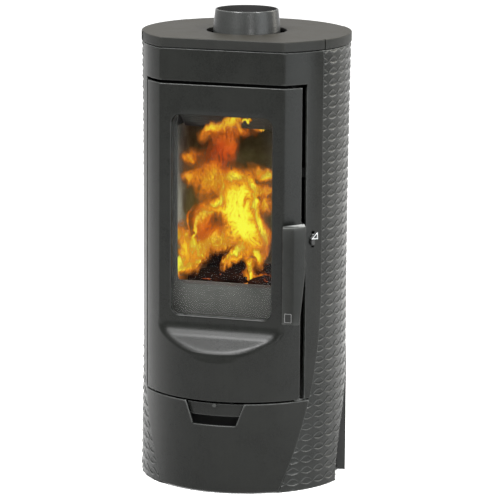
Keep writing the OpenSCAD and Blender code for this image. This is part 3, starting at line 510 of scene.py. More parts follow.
# the lid's top is painted lighter and warmer than its rim: painted warm light from above
lid_paint = casting_paint("lid_casting_paint", (0.013, 0.0122, 0.0098),
                          (0.022, 0.0205, 0.0162), (0.022, 0.022, 0.020), gloss=0.135,
                          rough=(0.44, 0.58), unlit_side_tone=SMOOTH_TONES)
# the handle's top face gets a painted highlight
handle_paint = casting_paint("handle_casting_paint", *SMOOTH_TONES, (0.085, 0.088, 0.084),
                             top_highlight_above=603.0)
badge_paint = casting_paint("blank_plate_paint", *SMOOTH_TONES, (0.009, 0.0092, 0.009))
# the collar paint is lighter than the other castings: partly painted light in place of lamp light
collar_paint = casting_paint("collar_paint", (0.012, 0.0126, 0.012), (0.020, 0.021, 0.020),
                             (0.07, 0.072, 0.07), gloss=0.26, bore=COLLAR_BORE + 0.2)

SLOT_MATERIAL = {
    "smooth_casting": smooth_paint,
    "textured_casting": casting_paint(
        "textured_casting_paint", (0.0062, 0.0068, 0.0063), (0.0125, 0.0131, 0.0122),
        (0.16, 0.162, 0.155), grain=0.12, gloss=0.115, rough=(0.25, 0.34)),
    "steel_sheet": sheet_black,
    "bare_steel": bare_metal("plated_steel", (0.38, 0.38, 0.37), (0.56, 0.56, 0.55)),
    "lining": fire_brick(), "grate_iron": burnt_iron(), "glass": fire_glass(),
    "rope": fibre_rope(),
    "blank_plate": bare_metal("blank_plate_steel", (0.11, 0.112, 0.11), (0.18, 0.18, 0.177)),
}
scorched = scorched_steel()
OWN_MATERIAL = {
    "glass_seal": seal_felt(), "glass_clips": sheet_black, "firebox_front": scorched,
    "firebox_shell": scorched, "air_wash_deflector": sheet_paint(
        "deflector_steel", (0.006, 0.0064, 0.0054), (0.019, 0.0195, 0.0165)),
}


def dress(obj, body, slot, *nodes, material=None):
    """Gives a piece its material, from its slot unless one is given, and its body, and hides the
    CAD nodes that it stands for.
    """
    obj.data.materials.clear()
    obj.data.materials.append(material or SLOT_MATERIAL[slot])
    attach(obj, body)
    if nodes:
        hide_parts(*nodes)


# ---- side castings with cast relief ----

RELIEF_COL = 9.0        # degrees between two columns of the relief
RELIEF_FIRST = 63.0     # azimuth of the middle of the first column
RELIEF_ROW = 24.6       # height of one row
RELIEF_TOP = 2.3        # from the top edge to the first row of crossings
LOWER_ARC, UPPER_ARC = 4.4, 9.8
LOWER_RIB, UPPER_RIB = 2.3, 1.2


def relief(az, z):
    """Height of the cast ribs: two arcs per cell that cross between the columns."""
    u = (az - RELIEF_FIRST) / RELIEF_COL
    u = u - np.round(u)
    v = (CASING_H - RELIEF_TOP - z) / RELIEF_ROW
    v = (np.round(v) - v) * RELIEF_ROW
    bow = np.cos(np.pi * u)
    middle = np.exp(-(np.abs(u) / 0.37) ** 4)
    total = 0.0
    for shift in (-RELIEF_ROW, 0.0, RELIEF_ROW):
        low = v - shift + LOWER_ARC * bow
        rib = np.exp(-(low / np.where(low > 0, 2.1, 1.2)) ** 2)
        high = v - shift - UPPER_ARC * bow
        arch = np.exp(-(high / np.where(high > 0, 1.3, 1.8)) ** 2)
        total = np.maximum(total, LOWER_RIB * (0.35 + 0.65 * middle) * rib)
        total = np.maximum(total, UPPER_RIB * arch)
    return total


def side_radius(z):
    s = (z - CASING_H / 2) / (CASING_H / 2)
    return SIDE_R - 1.0 - SIDE_WAIST * (1 - s * s)


def front_edge_az(z):
    s = np.maximum(0.0, 1 - z / SWEEP_H)
    return EDGE_AZ - (EDGE_AZ - EDGE_FOOT_AZ) * s * s


def rear_edge_az(z):
    s = np.minimum(1.0, z / REAR_SWEEP_H)
    return REAR_FOOT_AZ + (REAR_AZ - REAR_FOOT_AZ) * (1 - np.cos(np.pi * s)) / 2


def edge_on(radius, y):
    return np.degrees(np.arccos(-y / radius))


def quads(rows, cols, first=0):
    """Faces of a grid of points."""
    return [(a, a + 1, a + cols + 1, a + cols) for i in range(rows - 1)
            for a in range(first + i * cols, first + (i + 1) * cols - 1)]


def thin_backed(name, outer, inner, step=12):
    """Closed wall whose back grid keeps only every step-th row and column."""
    keep_r, keep_c = (sorted({*range(0, n, step), n - 1}) for n in outer.shape[:2])
    back = inner[np.ix_(keep_r, keep_c)]
    count = outer.shape[0] * outer.shape[1]
    front_ids = np.arange(count).reshape(outer.shape[:2])
    back_ids = count + np.arange(len(keep_r) * len(keep_c)).reshape(back.shape[:2])
    faces = quads(*outer.shape[:2])
    faces += [(a, d, c, b) for a, b, c, d in quads(*back.shape[:2], count)]
    for front, behind, kept in ((front_ids, back_ids, keep_c), (front_ids.T, back_ids.T, keep_r)):
        for side in (0, -1):
            for k in range(len(kept) - 1):
                edge = front[side, kept[k]:kept[k + 1] + 1].tolist()
                faces.append((*edge, int(behind[side, k + 1]), int(behind[side, k])))
    return make_object(name, np.concatenate([outer.reshape(-1, 3), back.reshape(-1, 3)]), faces)


def inner_rib():
    """Cast rib on the inside of a side casting, level with the gap under the door."""
    section = [(206, 184), (222, 184), (222, 206.5), (206, 206.5)]
    return loft("inner_rib", [[wall_point(r, az, z) for r, z in section]
                              for az in np.linspace(47.0, 66.0, 9)])


def side_casting(name, side):
    """Side casting between its two swept edges; side is 1 on the right and -1 on the left."""
    row_step = RELIEF_ROW / 18
    z = np.sort(CASING_H - np.append(np.arange(0, CASING_H - 0.7, row_step), CASING_H))[:, None]
    rim = np.array([0.0016, 0.0034, 0.0056])
    share = np.sort(np.concatenate([np.linspace(0, 1, 190), rim, 1 - rim]))
    y_front = -BODY_R * cosd(front_edge_az(z)) + SEAM
    y_rear = -BODY_R * cosd(rear_edge_az(z))
    radius = side_radius(z)
    start, end = edge_on(radius, y_front), edge_on(radius, y_rear)
    az = start + (end - start) * share
    to_side = np.minimum(share, 1 - share) * (np.radians(end - start) * radius)
    to_end = np.minimum(z, CASING_H - z)
    fade = np.clip(np.minimum(to_side, to_end) / 2.0, 0, 1)
    round_r = 1.5
    a = np.clip(round_r - to_side, 0, round_r)
    b = np.clip(round_r - to_end, 0, round_r)
    drop = round_r - np.sqrt(np.maximum(0, round_r ** 2 - a ** 2 - b ** 2))
    outer = wall_point(radius + relief(az, z) * (0.55 + 0.45 * fade) - drop, az, z)
    in_start, in_end = edge_on(SIDE_IN_R, y_front), edge_on(SIDE_IN_R, y_rear)
    inner = wall_point(SIDE_IN_R, in_start + (in_end - in_start) * share, z)
    obj = join(thin_backed(name, outer, inner), inner_rib())
    if side < 0:
        obj.data.transform(Matrix.Scale(-1, 4, (1, 0, 0)))
        obj.data.flip_normals()
    return shade(obj, 40.0, weighted=False)


dress(side_casting("side_panel_right", 1), "stove", "textured_casting", "side_casting_right")
dress(side_casting("side_panel_left", -1), "stove", "textured_casting", "side_casting_left")


# ---- door ----

LEDGE_DROP = 5.0        # from the solids' sharp ledge line down to the casting's soft one


def ledge_profile(z):
    """Distance of the door face from the plane of the axis at height z, on x = 0."""
    def arc(radius, rise):
        return np.sqrt(np.maximum(0, radius ** 2 - np.clip(rise, 0, radius) ** 2))

    turn = math.radians(LEDGE_TURN)
    scoop_end = SCOOP_TOP - SCOOP_R * math.sin(turn)
    lip_start = LIP_END + LIP_R * math.sin(turn)
    hollow = FLAT + SCOOP_R - arc(SCOOP_R, SCOOP_TOP - z)
    straight = FLAT + SCOOP_R * (1 - math.cos(turn)) + (scoop_end - z) * math.tan(turn)
    lip = BODY_R - LIP_R + arc(LIP_R, z - LIP_END)
    below = BODY_R + 0.03 * (LIP_END - z) ** 2
    return np.select([z >= SCOOP_TOP, z >= scoop_end, z >= lip_start, z >= LIP_END],
                     [FLAT, hollow, straight, lip], below)


def door_rib():
    """Rib behind the window that carries the sealing rope."""
    half_w, z0, z1, corner_r, wall, front, back = 137, 366, 856, 14, 6, -178, -158
    outlines = [round_rect(half_w - t, z0 + t, z1 - t, corner_r - t, 6) for t in (0, wall)]
    return bevel(frame_loop("door_rib", *outlines, lambda x, z, y: (x, y, z), front, back), 0.8, 2)


def knuckle(z0, z1):
    left, right, back = HINGE[0] - 3, HINGE[0] + 8, HINGE[1] - 6
    web = prism("knuckle_web", [(left, -160.0), (right, -170.0), (right, back), (left, back)],
                z0, z1)
    return join(tube("knuckle", HINGE, HINGE_BORE, HINGE_R, z0, z1, 40, 0.6), bevel(web, 0.8, 2))


def pin_lug(z0, z1):
    x, y = HANDLE_PIN
    web = block("lug_web", x - 7, x - 3.4, -156.0, y, z0, z1)
    return join(tube("pin_lug", HANDLE_PIN, HUB_BORE, HUB_R, z0, z1, 32, 0.5), bevel(web, 0.6, 2))


def door_casting():
    """Door with its window, the ledge below it, and the lugs for hinge and handle."""
    flat_az, round_az, ledge_z0, ledge_z1, fade = 36.0, 39.5, 290.0, 380.0, 20.0
    az = spaced(DOOR_HINGE_AZ, 1.0, DOOR_HINGE_AZ + 1.0, 0.7, -round_az, 0.25, -flat_az, 0.5,
                flat_az, 0.25, round_az, 0.7, DOOR_HANDLE_AZ - 1.0, 1.0, DOOR_HANDLE_AZ)
    z = spaced(DOOR_Z, 4, DOOR_Z + 4, 8, ledge_z0 + 2, 1.6, ledge_z1 + 6, 10, DOOR_TOP - 4, 4,
               DOOR_TOP)[:, None]
    cos = cosd(az)
    near_ledge = np.clip(np.minimum(z - ledge_z0, ledge_z1 - z) / fade, 0, 1)
    blend = 3.2 + 6.8 * near_ledge ** 2 * (3 - 2 * near_ledge)
    profile = ledge_profile(z + LEDGE_DROP)
    outer = wall_point(smooth_min(BODY_R, profile / cos, blend), az, z)
    in_profile = ledge_profile(z + LEDGE_DROP + DOOR_T) - DOOR_T
    inner = wall_point(smooth_min(BODY_R - DOOR_T, in_profile / cos), az, z)
    door = bevel(shell("door_front", outer, inner), 1.5)
    levels = [(-FLAT + WINDOW_BEVEL * c - 0.001, WINDOW_BEVEL * s) for c, s in quarter(5)]
    levels = [(-FLAT - 12, WINDOW_BEVEL), *levels, (-FLAT + DOOR_T + 6, 0.0)]
    cut(door, loft("window_cutter", [[(x, y, zz) for x, zz in round_rect(
        WINDOW_X + out, WINDOW_Z0 - out, WINDOW_Z1 + out, WINDOW_R + out, 10)]
        for y, out in levels]))
    parts = [door_rib()] + [knuckle(low + 20.6, low + 40.0) for low in HINGE_LEVELS]
    parts += [pin_lug(low, low + 10) for low in (HUB_Z0 - 10, HUB_Z1)]
    return shade(join(door, *parts), 32.0)


dress(door_casting(), "door", "smooth_casting", "door")


# ---- front frame ----

def front_frame():
    """Header and stiles round the door, with the slot of the secondary air lever."""
    slot_z0, slot_z1 = LEVER_Z - LEVER_SLOT_H / 2, LEVER_Z + LEVER_SLOT_H / 2
    z = spaced(DOOR_Z, 4, DOOR_Z + 4, 10, SWEEP_H, 12, slot_z0, 9, slot_z1, 12, HEADER_Z - 5, 5,
               HEADER_Z, 5, HEADER_Z + 5, 12, CASING_H - 5, 5, CASING_H)
    slot = math.degrees(math.asin(LEVER_SLOT_W / 2 / BODY_R))
    flat_az, round_az = 35.5, 40.0
    mid = spaced(FRAME_HINGE_AZ, 1.2, FRAME_HINGE_AZ + 1.2, 1.2, -round_az, 0.3, -flat_az, 2.2,
                 flat_az, 0.3, round_az, 1.2, FRAME_HANDLE_AZ - 1.2, 1.2, FRAME_HANDLE_AZ)
    left_share = np.array([0.0, 0.33, 0.67])
    right_stops = np.array([FRAME_HANDLE_AZ + 1.0, 54.2, LEVER_AZ - slot, LEVER_AZ + slot,
                            60.4, 62.9, EDGE_AZ])
    right_share = (right_stops - FRAME_HANDLE_AZ) / (EDGE_AZ - FRAME_HANDLE_AZ)
    edge = front_edge_az(z[:, None])
    in_edge = edge_on(BODY_R - CAST_T, -BODY_R * cosd(edge))
    # the inner hinge line keeps its distance from the swept edge, so no column turns over
    in_hinge = FRAME_HINGE_AZ - np.clip(in_edge + FRAME_HINGE_AZ - 0.6, 0.0, 0.45)
    walls = []
    for depth, side, hinge in ((0.0, edge, FRAME_HINGE_AZ + 0 * edge), (CAST_T, in_edge, in_hinge)):
        az = np.concatenate([-side + (hinge + side) * left_share,
                             np.where(mid == FRAME_HINGE_AZ, hinge, mid),
                             FRAME_HANDLE_AZ + (side - FRAME_HANDLE_AZ) * right_share], axis=1)
        rho = smooth_min(BODY_R - depth, (FLAT - depth) / cosd(az))
        walls.append(wall_point(rho, az, z[:, None]))
    kept = np.ones((len(z) - 1, walls[0].shape[1] - 1), bool)
    low, first = z[:-1], len(left_share)
    kept[low < HEADER_Z - 0.01, first:first + len(mid) - 1] = False
    kept[(low > slot_z0 - 0.1) & (low < slot_z1 - 0.1), first + len(mid) + 2] = False
    return shade(bevel(shell("front_surround", *walls, kept), 1.0, clamp=False), 32.0)


dress(front_frame(), "stove", "smooth_casting", "front_frame")


# ---- ash drawer front ----

def notch_half(z):
    return np.where(z < NOTCH_Z, NOTCH_FOOT, NOTCH_FOOT + (NOTCH_TOP - NOTCH_FOOT) * (
        z - NOTCH_Z) / (DRAWER_TOP - NOTCH_Z))


def drawer_casting():
    """Drawer front with a notch at its top."""
    z = spaced(DRAWER_FOOT, 4, DRAWER_FOOT + 4, 7, NOTCH_Z - 4, 4, NOTCH_Z, 4, NOTCH_Z + 4, 7,
               DRAWER_TOP - 4, 4, DRAWER_TOP)
    outside = np.array([0.0, 0.04, *np.arange(1, 10) / 10, 0.96])
    inside = np.linspace(0, 1, 41)
    y_cut = -BODY_R * cosd(front_edge_az(z[:, None]))
    walls = []
    for radius in (BODY_R, BODY_R - CAST_T):
        edge = edge_on(radius, y_cut)
        lip = np.degrees(np.arcsin(notch_half(z[:, None]) / radius))
        az = np.concatenate([-edge + (edge - lip) * outside, -lip + 2 * lip * inside,
                             lip + (edge - lip) * (1 - outside[::-1])], axis=1)
        walls.append(wall_point(radius, az, z[:, None]))
    kept = np.ones((len(z) - 1, walls[0].shape[1] - 1), bool)
    kept[z[:-1] > NOTCH_Z - 0.01, len(outside):len(outside) + len(inside) - 1] = False
    return shade(bevel(shell("drawer_face", *walls, kept), 1.4), 32.0)


dress(drawer_casting(), "ash_drawer", "smooth_casting", "drawer_front")


# ---- foot: base plate with two flats, and the folded edge of the rear sheet ----

def base_disc():
    """Floor plate, cut straight at both sides so that it stays behind the side castings."""
    radius, _, thick = (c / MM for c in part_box("base_plate")[1])
    half_w, round_r = 206.0, 0.8
    rim = wall_point(radius, np.arange(0, 360, 2.0), 0.0)
    rim[:, 0] = np.clip(rim[:, 0], -half_w, half_w)
    rings = [rim * (share, share, 1.0) + (0.0, 0.0, z) for share, z in (
        (0.996, 0.0), (1.0, round_r), (1.0, thick - round_r), (0.996, thick))]
    return shade(loft("floor_plate", rings), 30.0)


def rear_fold(name, side):
    """Edge of the rear sheet folded inward beside the opening at the foot."""
    radius, start, thick = 227.4, 105.0, 0.5
    rings = [[wall_point(radius - inward, side * (start + turn), z) for inward, turn in (
        (depth, 0.0), (0.0, 0.0), (0.0, thick), (depth, thick))]
        for z, depth in ((1.0, 17.0), (110.0, 17.0), (245.0, 9.0))]
    return shade(bevel(loft(name, rings), 0.4, 2), 30.0)


dress(base_disc(), "stove", "steel_sheet", "base_plate")
dress(rear_fold("rear_fold_right", 1), "stove", "steel_sheet")
dress(rear_fold("rear_fold_left", -1), "stove", "steel_sheet")


# ---- door rope ----

def braided_rope():
    """Rope round the back of the door: a soft round section with a two-way braid."""
    low, high = (np.array(c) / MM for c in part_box("door_rope"))
    radius, corner_r, pitch = min(4.0, (high[1] - low[1]) / 2), 11.0, 11.0
    corners = round_rect(high[0] - radius, low[2] + radius, high[2] - radius, corner_r, 10)
    line = np.array([(x, (low[1] + high[1]) / 2, z) for x, z in corners + corners[:1]])
    along = np.append(0, np.cumsum(np.linalg.norm(np.diff(line, axis=0), axis=1)))
    count = int(along[-1] / 1.3)
    spots = np.arange(count) * along[-1] / count
    path = np.stack([np.interp(spots, along, line[:, k]) for k in range(3)], axis=1)
    tangent = np.roll(path, -1, axis=0) - np.roll(path, 1, axis=0)
    tangent /= np.linalg.norm(tangent, axis=1)[:, None]
    back = np.array([0.0, 1.0, 0.0])
    side = np.cross(tangent, back)[:, None]
    phase = 2 * np.pi * round(along[-1] / pitch) * np.arange(count)[:, None, None] / count
    a = 2 * np.pi * np.arange(16)[:, None] / 16
    weave = np.maximum(np.sin(3 * a + phase), np.sin(3 * a - phase))
    rings = path[:, None] + radius * (0.90 + 0.10 * weave) * (np.cos(a) * side + np.sin(a) * back)
    return shade(loft("braided_rope", rings, closed=True), 60.0, weighted=False)


dress(braided_rope(), "door", "rope", "door_rope")


# ---- top plate and flue collar ----

def top_casting():
    """Lid with a rounded rim, a groove above each front edge, a hole and a pocket below."""
    front, side, rear = BODY_R + 1, SIDE_R + 1.48, REAR_R + 1
    groove_az, groove_half, groove_deep = EDGE_AZ + 0.5, 0.17, 1.9
    round_r, hole, step_r, pocket_r, floor_z = 2.2, COLLAR_HOLE, 150.0, 212.0, TOP_Z - 8.0
    half = [az for az in np.arange(0, 180.001, 2.0)
            if abs(az - groove_az) > 1.2 and abs(az - REAR_AZ) > 0.8]
    half += [groove_az + s * off for off in (0.5, groove_half + 0.05, groove_half) for s in (-1, 1)]
    half = np.array([*half, REAR_AZ - 0.1, REAR_AZ + 0.1, 37.0, 37.5, 38.0, 38.5])
    az = np.array(sorted(set(np.round(np.concatenate([-half, half]), 4))))[1:]
    a = np.abs(az)
    radius = np.where(a < groove_az, front, np.where(a < REAR_AZ, side, rear))
    radius = np.where(np.abs(a - groove_az) < groove_half + 0.01, BODY_R - groove_deep, radius)
    cos = np.maximum(cosd(az), 1e-6)
    rim = np.where(a < 80, smooth_min(radius, (FLAT + 1) / cos, 2.0), radius)
    pocket = np.minimum(pocket_r, np.where(a < 80, (FLAT - 16) / cos, pocket_r))
    rows = [(rim - round_r * s, PLATE_Z + round_r * c) for c, s in quarter(3)]
    rows += [(rim - round_r * c, TOP_Z - round_r * s) for c, s in quarter(3)]
    rows += [(rim - 14.0, TOP_Z)]
    rows += [(r + 0 * az, z) for r, z in (
        (step_r, TOP_Z), (hole + 4, TOP_Z), (hole + 1.6, TOP_Z), (hole + 0.5, TOP_Z - 0.5),
        (hole, TOP_Z - 1.6), (hole, floor_z), (step_r, floor_z))]
    rows += [(pocket, floor_z), (pocket, PLATE_Z)]
    rings = np.stack([wall_point(r, az, z) for r, z in rows], axis=1)
    return shade(loft("lid_casting", rings, closed=True), 32.0)


dress(top_casting(), "stove", "smooth_casting", "top_plate", material=lid_paint)

COLLAR_PROFILE = [
    (COLLAR_BORE, 958.0), (95.0, 958.0), (96.0, 959.0), (96.0, 963.0), (95.0, 964.0),
    (76.0, 964.0), (74.9, 964.6), (74.4, 965.8), (74.4, 1014.2), (74.2, 1015.0), (70.25, 1048.5),
    (69.9, 1050.0), (69.2, 1050.8), (68.4, 1051.0), (67.2, 1051.0), (66.4, 1050.6),
    (COLLAR_BORE, 1049.6),
]
dress(shade(turned("flue_collar_casting", COLLAR_PROFILE, 144), 32.0, weighted=False),
      "stove", "smooth_casting", "flue_collar", material=collar_paint)


# ---- handle ----

def handle_casting():
    """Bar with a tapered foot, the arm behind it and the hub on its pin."""
    z0, z1, taper_z = 386.0, 604.0, 506.0
    face_y, ridge_x = -208, 174.3
    rings = []
    for zz in (z0, z0 + 9, 416, 446, 476, taper_z, 540, 572, z1 - 9, z1):
        bx = min(195.3, 195.4 - 10.1 * max(0.0, taper_z - zz) / (taper_z - z0 + 1))
        by = face_y + 18 * (bx - ridge_x) / 21.0
        cx = bx - 8.0
        rings.append([(x, y, zz) for x, y in (
            (148.3, face_y), (ridge_x, face_y), (bx, by), (cx, -171.2),
            (min(181.3, cx - 3), -172.2), (158.3, -187), (144.3, -193))])
    lifts = (-2.0, -1.5, 0.5, 2.5, 2.0, 0.0, -1.0)
    rings[-1] = [(x, y, zz + lift) for (x, y, zz), lift in zip(rings[-1], lifts)]
    bar = bevel(loft("handle_bar", rings), 1.6, 3, 18.0)
    root, gap, half = (181.3, -172.0), (176.7, -147.24), (1.968, 1.091)
    outline = [(root[0] - 3, root[1] - 4), (root[0] + 4, root[1] - 4)]
    outline += [(x + half[0], y + half[1]) for x, y in (gap, HANDLE_PIN)]
    outline += [(x - half[0], y - half[1]) for x, y in (HANDLE_PIN, gap)]
    arm = bevel(prism("handle_arm", outline, HUB_Z0 + 1, HUB_Z1 - 1), 0.6, 2, 30.0)
    hub = tube("handle_hub", HANDLE_PIN, HUB_BORE, HUB_R, HUB_Z0 + 0.6, HUB_Z1 - 0.6, 32, 0.5)
    return shade(join(bar, arm, hub), 30.0)


dress(handle_casting(), "handle", "smooth_casting", "door_handle", material=handle_paint)

BADGE_X, BADGE_Z, BADGE_HALF_W, BADGE_HALF_H = 162.3, 402.0, 8.0, 10.0
cap = bevel(block("blank_badge", BADGE_X - BADGE_HALF_W, BADGE_X + BADGE_HALF_W, -208.6, -207.6,
                  BADGE_Z - BADGE_HALF_H, BADGE_Z + BADGE_HALF_H), 0.3, 2)
rim = bevel(frame_loop("badge_rim", round_rect(BADGE_HALF_W, -BADGE_HALF_H, BADGE_HALF_H, 1.6, 4),
                       round_rect(6.9, -8.9, 8.9, 0.9, 4),
                       lambda x, z, y: (BADGE_X + x, y, BADGE_Z + z), -207.8, -209.2), 0.25, 2)
dress(shade(rim, 30.0), "handle", "blank_plate")
dress(shade(cap, 30.0), "handle", "blank_plate", "handle_cap", material=badge_paint)


# ---- secondary air knob ----

KNOB_Z = 575.0
KNOB_OUTLINE = [(-12.5, -8.0), (6.5, 7.5), (7.5, -9.5)]


def stile_point(x, z, out):
    """Point at the knob: x along the right stile, z up from its middle, out from the wall."""
    a = math.radians(LEVER_AZ)
    r = BODY_R + out
    return (r * math.sin(a) + x * math.cos(a), -r * math.cos(a) + x * math.sin(a), KNOB_Z + z)


def stile_loft(name, levels):
    return loft(name, [[stile_point(x, z, out) for x, z in outline] for outline, out in levels])


def shrunk(points, share):
    """Points pulled towards the middle of the knob."""
    centre = np.mean(KNOB_OUTLINE, axis=0)
    return [tuple(centre + (np.array(p) - centre) * share) for p in points]


def knob_head():
    """Rimmed wedge of the lever, on its shaft."""
    outline = []
    for k, (x, z) in enumerate(KNOB_OUTLINE):
        before, after = KNOB_OUTLINE[k - 1], KNOB_OUTLINE[(k + 1) % 3]
        for other, pull in ((before, 0.22), (before, 0.077), (after, 0.077), (after, 0.22)):
            outline.append((x + (other[0] - x) * pull, z + (other[1] - z) * pull))
    rim = frame_loop("knob_rim", outline, shrunk(outline, 0.52), stile_point, 1.2, 8.6)
    shaft = stile_loft("knob_shaft", [(oval(0.0, 0.0, 2.5, 2.5, 16), out) for out in (-8.2, 2.4)])
    return shade(join(bevel(rim, 0.7, 3, 30.0), shaft), 35.0)


def knob_shade_web():
    """Dark web inside the rim as painted shade, and the dark finger below it as a painted shadow.
    """
    web = stile_loft("knob_shade_web", [(shrunk(KNOB_OUTLINE, 0.6), out) for out in (1.4, 4.2)])
    finger = stile_loft("knob_shadow_finger", [
        (oval(-4.0, -15.5, 5.5 * share, 8.0 * share, 24), out) for share, out in (
            (0.9, 0.9), (1.0, 1.6), (1.0, 4.0), (0.85, 5.6), (0.5, 6.6))])
    return shade(join(web, finger), 35.0)


dress(knob_head(), "secondary_air", "bare_steel", "secondary_air_knob", material=lever_steel)
# dark pieces that stand for the shade inside the rim and the shadow under the knob
dress(knob_shade_web(), "secondary_air", "grate_iron", material=sheet_black)


# ---- primary air slide ----

def lip_plate():
    """Lip of the slide in the drawer's notch, and its tongue with three air slots."""
    z0, z1, tongue_z0, tongue_z1, tongue_half = 174, 202, 193, 196, 30
    z = spaced(z0, 3, z0 + 3, 5.5, z1 - 3, 3, z1)[:, None]
    share = np.array([0, 0.03, *np.linspace(0.08, 0.92, 25), 0.97, 1.0])
    walls = []
    for radius in (SLIDE_R, SLIDE_R - SLIDE_T):
        edge = np.degrees(np.arcsin((notch_half(z) - 1.5) / radius))
        walls.append(wall_point(radius, -edge + 2 * edge * share, z))
    plate = bevel(shell("air_slide_lip", *walls), 0.7, 2)
    slots = [block("slot", x - 5, x + 5, -117.0, -97.0, 190, 200) for x in (-18, 0, 18)]
    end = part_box("primary_air_slide")[1][1] / MM
    tongue = block("tongue", -tongue_half, tongue_half, -220.5, end, tongue_z0, tongue_z1)
    return shade(join(plate, bevel(cut(tongue, *slots), 0.3, 1)), 32.0)


dress(lip_plate(), "primary_air", "steel_sheet", "primary_air_slide", material=smooth_paint)
STUD_PROFILE = [(0.4, 0), (4.5, 0), (4.5, 3.2), (3.6, 3.6), (0.4, 3.6)]
button = bevel(turned("air_slide_stud", STUD_PROFILE, 32), 0.3, 2)
button.data.transform(Matrix.Translation((0, -SLIDE_R * MM, 0.1975))
                      @ Matrix.Rotation(math.pi / 2, 4, "X"))
dress(shade(button, 35.0), "primary_air", "bare_steel", "primary_air_button",
      material=smooth_paint)


# ---- fire: logs, embers and flames ----

def charred_wood():
    """Charred log: cracked black bark with a few glowing splits."""
    m = Material("charred_wood", Specular_IOR_Level=0.05, Emission_Color=(1.0, 0.16, 0.015, 1.0))
    bark = m.noise(1.0, 4.0, 0.55, m.stretch((16.0, 70.0, 70.0)), 0.6)
    base = m.ramp(bark, [(0.34, (0.002, 0.0006, 0.0003)), (0.6, (0.012, 0.003, 0.0012)),
                         (0.8, (0.05, 0.017, 0.005))])
    split = m.math("MULTIPLY", m.span(bark, 0.36, 0.29), m.span(m.noise(22.0, 3.0), 0.5, 0.66))
    return m.give(Base_Color=base, Roughness=m.usual(bark, 0.75, 0.95),
                  Emission_Strength=m.math("MULTIPLY", split, 1.6),
                  Normal=m.bump(bark, 2.0, 0.6))


def ember_bed():
    """Ash and glowing coal."""
    m = Material("embers", Specular_IOR_Level=0.1, Roughness=0.95,
                 Emission_Color=(1.0, 0.2, 0.02, 1.0))
    cells = m.node("TexVoronoi", {"Vector": m.coords, "Scale": 70.0}).outputs["Distance"]
    base = m.ramp(cells, [(0.1, (0.20, 0.18, 0.16)), (0.5, (0.05, 0.03, 0.025)),
                          (0.8, (0.01, 0.006, 0.005))])
    heat = m.math("MULTIPLY", m.span(cells, 0.35, 0.75),
                  m.span(m.noise(16.0, 4.0, 0.6), 0.42, 0.6, 0.05, 1.0))
    return m.give(Base_Color=base, Emission_Strength=m.math("MULTIPLY", heat, 1.8),
                  Normal=m.bump(cells, 3.0, 0.8))


def wavy(p, seed, scale):
    """Small repeatable bumps from sums of sines."""
    a, b, c = (p[0] * scale + seed, p[1] * scale + 2.1 * seed, p[2] * scale + 0.7 * seed)
    return (np.sin(a + 1.3 * np.sin(b)) + np.sin(1.7 * b + np.sin(2.3 * c))
            + np.sin(2.9 * c + a)) / 3


def log_piece(name, start, end, radius, seed, bow=4.0):
    """Split log with uneven bark and broken ends."""
    start, end = Vector(start), Vector(end)
    axis = (end - start).normalized()
    side = axis.cross(Vector((0, 0, 1))).normalized()
    lift = side.cross(axis).normalized()
    rings = []
    count, around, end_share = 44, 40, 0.06
    for i in range(count + 1):
        t = i / count
        centre = start.lerp(end, t) + lift * bow * math.sin(math.pi * t)
        past = max(0.0, abs(2 * t - 1) - (1 - end_share)) / end_share
        inset = min(1.0, math.sqrt(max(0.0, 1 - past)) + 0.25)
        ring = []
        for k in range(around):
            a = 2 * math.pi * k / around
            out = side * math.cos(a) + lift * math.sin(a)
            flat = 1 - 0.16 * max(0.0, math.cos(a - seed)) ** 4
            probe = centre + out * radius
            bumps = 0.07 * wavy(probe, seed, 0.11) + 0.035 * wavy(probe, seed + 3, 0.42)
            ring.append(centre + out * radius * inset * float(flat + bumps))
        rings.append(ring)
    return shade(loft(name, rings), 50.0, weighted=False)


def ember_mound():
    half_w, front, back, foot = 100, -108, 90, 402.2
    x, y = np.linspace(-half_w, half_w, 56), np.linspace(front, back, 46)[:, None]
    to_edge = np.minimum(half_w - np.abs(x), np.minimum(y - front, back - y))
    bumps = 13 + 5 * wavy((x, y, 0), 1.7, 0.09) + 3 * wavy((x, y, 5), 4.1, 0.31)
    lift = bumps * np.sin(np.minimum(1.0, to_edge / 26.0) * math.pi / 2)
    top = np.stack(np.broadcast_arrays(x, y, foot + 0.2 + np.maximum(0.3, lift)), axis=-1)
    low = top.copy()
    low[:, :, 2] = foot
    return shade(shell("ember_mound", top, low), 60.0, weighted=False)


# x, z, half width, half height, lean in degrees, strength; the first blobs are the hottest
FLAMES = [
    (5, 593, 26, 50, 0, 1.8), (-2, 655, 23, 36, -8, 1.2), (-40, 615, 30, 11, 18, 0.8),
    (26, 564, 19, 41, 8, 1.0), (-2, 502, 32, 10, 38, 0.9), (-40, 533, 30, 23, 25, 0.5),
    (-115, 522, 14, 47, 0, 1.0), (-87, 508, 21, 30, 0, 0.75), (-89, 571, 4, 30, -12, 0.7),
    (-70, 587, 25, 47, 0, 0.38), (-56, 681, 36, 36, 0, 0.45), (-95, 728, 26, 15, 25, 0.36),
    (-105, 683, 16, 14, 0, 0.3), (-24, 746, 28, 30, -35, 0.42), (7, 784, 33, 16, 0, 0.3),
    (-57, 780, 22, 16, 30, 0.28), (52, 696, 23, 15, -20, 0.65), (50, 654, 22, 16, 0, 0.42),
    (62, 618, 14, 22, 0, 0.45), (53, 546, 22, 25, 30, 0.55), (22, 459, 12, 30, 0, 0.85),
    (48, 498, 12, 28, 10, 0.5), (54, 445, 22, 10, 0, 0.45), (50, 790, 8, 2.6, 15, 1.1),
]
TOP_FLAMES = [
    (-12, 805, 40, 14, 18, 0.42), (18, 824, 22, 8, 10, 0.36), (-45, 792, 22, 9, 30, 0.36),
    (30, 800, 16, 10, -20, 0.34), (50, 822, 9, 2.6, 15, 1.0),
]
